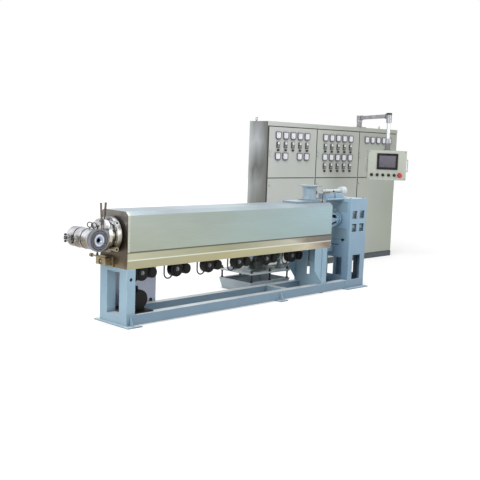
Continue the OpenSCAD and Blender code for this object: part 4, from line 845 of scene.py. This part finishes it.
def makeHeadPieces():
    bolts, sockets, seams, balls, grips = [bmesh.new() for count in range(5)]
    for y, z in circleSpots(8, head["flangeBolts"], 0, head["z"]):
        addRod(bolts, (head["flange"] - 0.014, y, z), "x", 0.0145, 0.0142, 24)
        addRod(sockets, (head["flange"] - 0.0146, y, z), "x", 0.0075, 0.0012, 6)
    for y, z in circleSpots(6, head["discBolts"], 0, head["z"]):
        addRod(bolts, (head["disc"] - 0.01, y, z), "x", 0.0115, 0.0102, 24)
        addRod(sockets, (head["disc"] - 0.0106, y, z), "x", 0.006, 0.0012, 6)
    for side in (-1, 1):
        addRod(sockets, (head["clampX"], -0.2036, head["z"] + side * head["clampZ"]), "y", 0.0131, 0.002, 24)
    for y in head["bandSeams"]:
        addRing(seams, (head["x"], y, head["z"]), "y", 0.1010, 0.0042, steps=48)
    for x in head["clampSeams"]:
        addRing(seams, (x, 0, head["z"]), "x", 0.1275, 0.0032, steps=48)
    for foot, top in head["probes"]:
        addStrut(grips, foot, top, 0.0095, 0.0128, 24)
    placePiece("probeGrips", grips, probeSteel, bevel=0.0008)
    placePiece("headBolts", bolts, boltSteel, bevel=0.0015)
    placePiece("headSockets", sockets, blackPlastic)
    placePiece("headSeams", seams, gasketRubber)
    for y in head["studBlocks"]:
        for z in (-0.034, 0.034):
            addBall(balls, (head["studX"], y, head["z"] + z), 0.0125)
        for side in (-0.014, 0.014):
            for z in (-0.010, 0.010):
                addBall(balls, (head["studX"] - 0.0001, y + side, head["z"] + z), 0.0092)
    placePiece("terminalCaps", balls, blackPlastic)


blowerLook = {"first": 0.298, "pitch": 0.514, "z": 0.54, "fanX": 0.146, "fanZ": 0.532}


def makeBlowerPieces():
    nuts, ribs = bmesh.new(), bmesh.new()
    for step in range(6):
        x = blowerLook["first"] + step * blowerLook["pitch"]
        addRod(nuts, (x, -0.0605, blowerLook["z"]), "y", 0.017, 0.016, 6)
        addRod(nuts, (x, -0.048, blowerLook["z"]), "y", 0.025, 0.0045, 24)
        for turn in range(10):
            rib = addBox(ribs, (-0.0025, -0.043, 0.056), (0.0025, -0.0375, 0.089))
            turnPiece(ribs, rib, (x, 0, blowerLook["z"]), "Y", math.radians(36 * turn))
        for turn in range(16):
            fin = addBox(ribs, (-0.0018, -0.036, 0.058), (0.0018, 0.058, 0.0635))
            spot = (x + blowerLook["fanX"], 0, blowerLook["fanZ"])
            turnPiece(ribs, fin, spot, "Y", math.radians(22.5 * turn))
    placePiece("blowerNuts", nuts, nutSteel, bevel=0.001)
    placePiece("blowerRibs", ribs, blackEnamel)


# Round leads in place of the blowers' faceted ones: from the tray down and round to the casing
leadLook = {"ahead": 0.164, "bend": 0.062, "radius": 0.0085, "high": 0.6348, "low": 0.496, "steps": 15}


def makeLeads():
    leads = bmesh.new()
    bend = leadLook["bend"]
    for step in range(6):
        x = blowerLook["first"] + step * blowerLook["pitch"] - leadLook["ahead"]
        route = [(x, 0, leadLook["high"])]
        for part in range(leadLook["steps"] + 1):
            angle = math.radians(180 - 146 * part / leadLook["steps"])
            route.append((x + bend + bend * math.cos(angle), 0, leadLook["low"] - bend * math.sin(angle)))
        addPipe(leads, route, leadLook["radius"])
    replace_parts(placePiece("blowerLeads", leads, leadRubber), "blower_leads")


# Screws of the cover: four up each edge at the die end, and a row along its foot on both sides
screwLook = {"edgeX": -0.048, "edgeY": (-0.2485, 0.2445), "edgeZ": (1.185, 1.05, 0.92, 0.855),
             "footX": 0.09, "footY": (-0.2472, 0.2448), "footZ": 0.848, "pitch": 0.29, "count": 12}


def makeHoodPieces():
    screws = bmesh.new()
    for z in screwLook["edgeZ"]:
        for y in screwLook["edgeY"]:
            addRod(screws, (screwLook["edgeX"], y, z), "y", 0.0055, 0.004, 16)
    for step in range(screwLook["count"]):
        x = screwLook["footX"] + step * screwLook["pitch"]
        for y in screwLook["footY"]:
            addRod(screws, (x, y, screwLook["footZ"]), "y", 0.0045, 0.0024, 16)
    placePiece("hoodScrews", screws, boltSteel, bevel=0.0006)


drive = {"motorX": 2.49, "motorY": 0.615, "motorZ": 0.546, "guardX": 3.46, "inputY": 0.09, "inputZ": 0.56,
         "eyeX": 0.365, "shellRings": (0.135, 0.155, 0.175), "cowlRings": (0.03, 0.055, 0.08),
         "feetX": (0.04, 0.69), "feetY": 0.185, "feetTop": 0.306, "inputBolts": 0.145, "motorBolts": 0.112,
         "lanternX": 3.458, "lanternR": 0.197, "standTop": 1.3, "standX": (3.905, 4.205), "standY": 0.205,
         "standPlug": (3.845, -0.13, 0.703), "plateHoleShade": (0.6545, 0.2444, 0.147),
         "linerLow": (4.1462, -0.1318, 0.112), "linerHigh": (4.2378, -0.1278, 0.512)}


def makeDrivePieces():
    steelBits, darkBits = bmesh.new(), bmesh.new()
    x, y, z = drive["motorX"], drive["motorY"], drive["motorZ"]
    addRod(steelBits, (x + drive["eyeX"], y, z + 0.2), "z", 0.022, 0.02, 24)
    addRing(steelBits, (x + drive["eyeX"], y, z + 0.245), "y", 0.026, 0.007)
    for radius in drive["shellRings"]:
        addRing(darkBits, (x - 0.0008, y, z), "x", radius, 0.003, steps=48)
    for radius in drive["cowlRings"]:
        addRing(darkBits, (x - 0.0308, y, z), "x", radius, 0.003, steps=40)
    for footX in drive["feetX"]:
        for side in (-1, 1):
            footY = y + side * drive["feetY"]
            addRod(steelBits, (x + footX, footY, drive["feetTop"]), "z", 0.014, 0.012, 6)
    for centreY, centreZ, radius in ((drive["inputY"], drive["inputZ"], drive["inputBolts"]),
                                     (y, z, drive["motorBolts"])):
        for boltY, boltZ in circleSpots(4, radius, centreY, centreZ):
            addRod(darkBits, (drive["guardX"] - 0.0065, boltY, boltZ), "x", 0.008, 0.007, 6)
    addRod(darkBits, drive["standPlug"], "x", 0.017, 0.028, 24)
    for boltX in drive["standX"]:
        for boltY in (-drive["standY"], drive["standY"]):
            addRod(steelBits, (boltX, boltY, drive["standTop"] - 0.0002), "z", 0.012, 0.008, 6)
    for boltY, boltZ in circleSpots(8, drive["lanternR"], 0, head["z"]):
        addRod(steelBits, (drive["lanternX"] - 0.0005, boltY, boltZ), "x", 0.0065, 0.008, 6)
    # a black disc in the side plate's hole: painted shade of the hole
    addRod(darkBits, drive["plateHoleShade"], "y", 0.0238, 0.0112, 32)
    placePiece("driveBolts", steelBits, boltSteel)
    placePiece("driveDarkBits", darkBits, blackPlastic)
    # a sheet in the darker blue inside the gearbox stand's portal, for its painted shade
    liner = bmesh.new()
    addBox(liner, drive["linerLow"], drive["linerHigh"])
    placePiece("portalLiner", liner, linerPaint)


# Oil pipe: up from the cover's top, round a bend and on to the lubrication unit
pipeLook = {"radius": 0.007, "footX": 3.39, "y": -0.10, "foot": 1.253, "top": 1.385, "bend": 0.04,
            "run": ((3.50, -0.098, 1.385), (3.60, -0.06, 1.386), (3.64, -0.022, 1.392)),
            "nutZ": 1.2548, "unitNut": (3.73, -0.036, 1.397)}


def makeOilPipe():
    pipe, fittings = bmesh.new(), bmesh.new()
    x, y, bend = pipeLook["footX"], pipeLook["y"], pipeLook["bend"]
    route = [(x, y, pipeLook["foot"])]
    for step in range(7):
        angle = math.radians(180 - 15 * step)
        route.append((x + bend + bend * math.cos(angle), y, pipeLook["top"] - bend + bend * math.sin(angle)))
    addPipe(pipe, route + list(pipeLook["run"]), pipeLook["radius"])
    addRod(fittings, (x, y, pipeLook["nutZ"]), "z", 0.013, 0.014, 6)
    addRod(fittings, pipeLook["unitNut"], "y", 0.013, 0.018, 6)
    placePiece("oilPipe", pipe, copperPipe)
    placePiece("oilFittings", fittings, blackPlastic)


makeMeters()
makeControllers()
makeGapStrips()
makeCabinetTrim()
makePanelPieces()
print("cabinet and panel pieces ready")
makeHeadPieces()
makeBlowerPieces()
makeLeads()
makeHoodPieces()
makeDrivePieces()
makeOilPipe()
print("machine pieces ready")

# Floor, background and lamps
stageLook = {"floorSize": 60, "floorTone": (0.62, 0.62, 0.62, 1), "glowNear": 0.5, "glowFar": 0.85,
             "middle": (3.4, 0.7, 0), "ambient": 0.40}


def brightForEyes(tree):
    path = tree.nodes.new("ShaderNodeLightPath")
    seen = combine(tree, path.outputs["Is Camera Ray"], path.outputs["Is Glossy Ray"], "MAXIMUM")
    return combine(tree, seen, path.outputs["Is Transmission Ray"], "MAXIMUM")


def makeFloor():
    mesh = bpy.data.meshes.new("floor")
    bm = bmesh.new()
    bmesh.ops.create_grid(bm, x_segments=1, y_segments=1, size=stageLook["floorSize"] / 2)
    bm.to_mesh(mesh)
    bm.free()
    floor = addObject("floor", mesh)
    material, tree, shader = startMaterial("floorPale")
    shader.inputs["Base Color"].default_value = stageLook["floorTone"]
    shader.inputs["Roughness"].default_value = 0.9
    shader.inputs["Specular IOR Level"].default_value = 0.1
    away = lineDistance(tree, stageLook["middle"], 2)
    away = spread(tree, away, 5, 12, stageLook["glowNear"], stageLook["glowFar"])
    glow = tree.nodes.new("ShaderNodeEmission")
    feed(tree, glow.inputs["Strength"], combine(tree, brightForEyes(tree), away))
    both = tree.nodes.new("ShaderNodeAddShader")
    feed(tree, both.inputs[0], shader.outputs[0])
    feed(tree, both.inputs[1], glow.outputs[0])
    feed(tree, tree.nodes["Material Output"].inputs["Surface"], both.outputs[0])
    mesh.materials.append(material)


def makeWorld():
    world = bpy.data.worlds.new("studio")
    bpy.context.scene.world = world
    world.use_nodes = True
    tree = world.node_tree
    light = spread(tree, brightForEyes(tree), 0, 1, stageLook["ambient"], 1.0)
    feed(tree, tree.nodes["Background"].inputs["Strength"], light)
    tree.nodes["Background"].inputs["Color"].default_value = (1, 1, 1, 1)


lamps = {
    "keyLamp": {"place": (-8.0, -4.5, 7.5), "aim": (1.6, 0.0, 0.8), "size": 5.0, "power": 820},
    "fillLamp": {"place": (7.0, -10.0, 4.5), "aim": (3.4, 0.5, 1.0), "size": 6.0, "power": 320},
    "sideLamp": {"place": (-9.0, -1.0, 2.2), "aim": (0.0, 0.0, 0.7), "size": 4.0, "power": 150},
    "topLamp": {"place": (2.5, 0.5, 9.0), "aim": (2.5, 0.3, 0.5), "size": 6.0, "power": 430},
}


def makeLamp(name, look):
    lamp = bpy.data.lights.new(name, "AREA")
    lamp.size = look["size"]
    lamp.energy = look["power"]
    holder = addObject(name, lamp)
    holder.location = look["place"]
    holder.rotation_mode = "QUATERNION"
    holder.rotation_quaternion = (Vector(look["aim"]) - Vector(look["place"])).to_track_quat("-Z", "Y")


eye = {"place": (-4.9668, -6.7316, 1.9789), "yaw": 0.7941, "pitch": -0.1212, "roll": 0.0345, "lens": 57.2}


def makeCamera():
    camera = addObject("camera", bpy.data.cameras.new("camera"))
    camera.data.lens = eye["lens"]
    camera.data.sensor_width = 36
    camera.data.clip_end = 200
    turn = Matrix.Rotation(-eye["yaw"], 4, "Z") @ Matrix.Rotation(math.pi / 2 + eye["pitch"], 4, "X")
    camera.matrix_world = Matrix.Translation(eye["place"]) @ turn @ Matrix.Rotation(eye["roll"], 4, "Z")
    bpy.context.scene.camera = camera


makeFloor()
makeWorld()
for lampName, lampLook in lamps.items():
    makeLamp(lampName, lampLook)
makeCamera()
bpy.context.scene.view_settings.view_transform = "Standard"
print("stage ready")
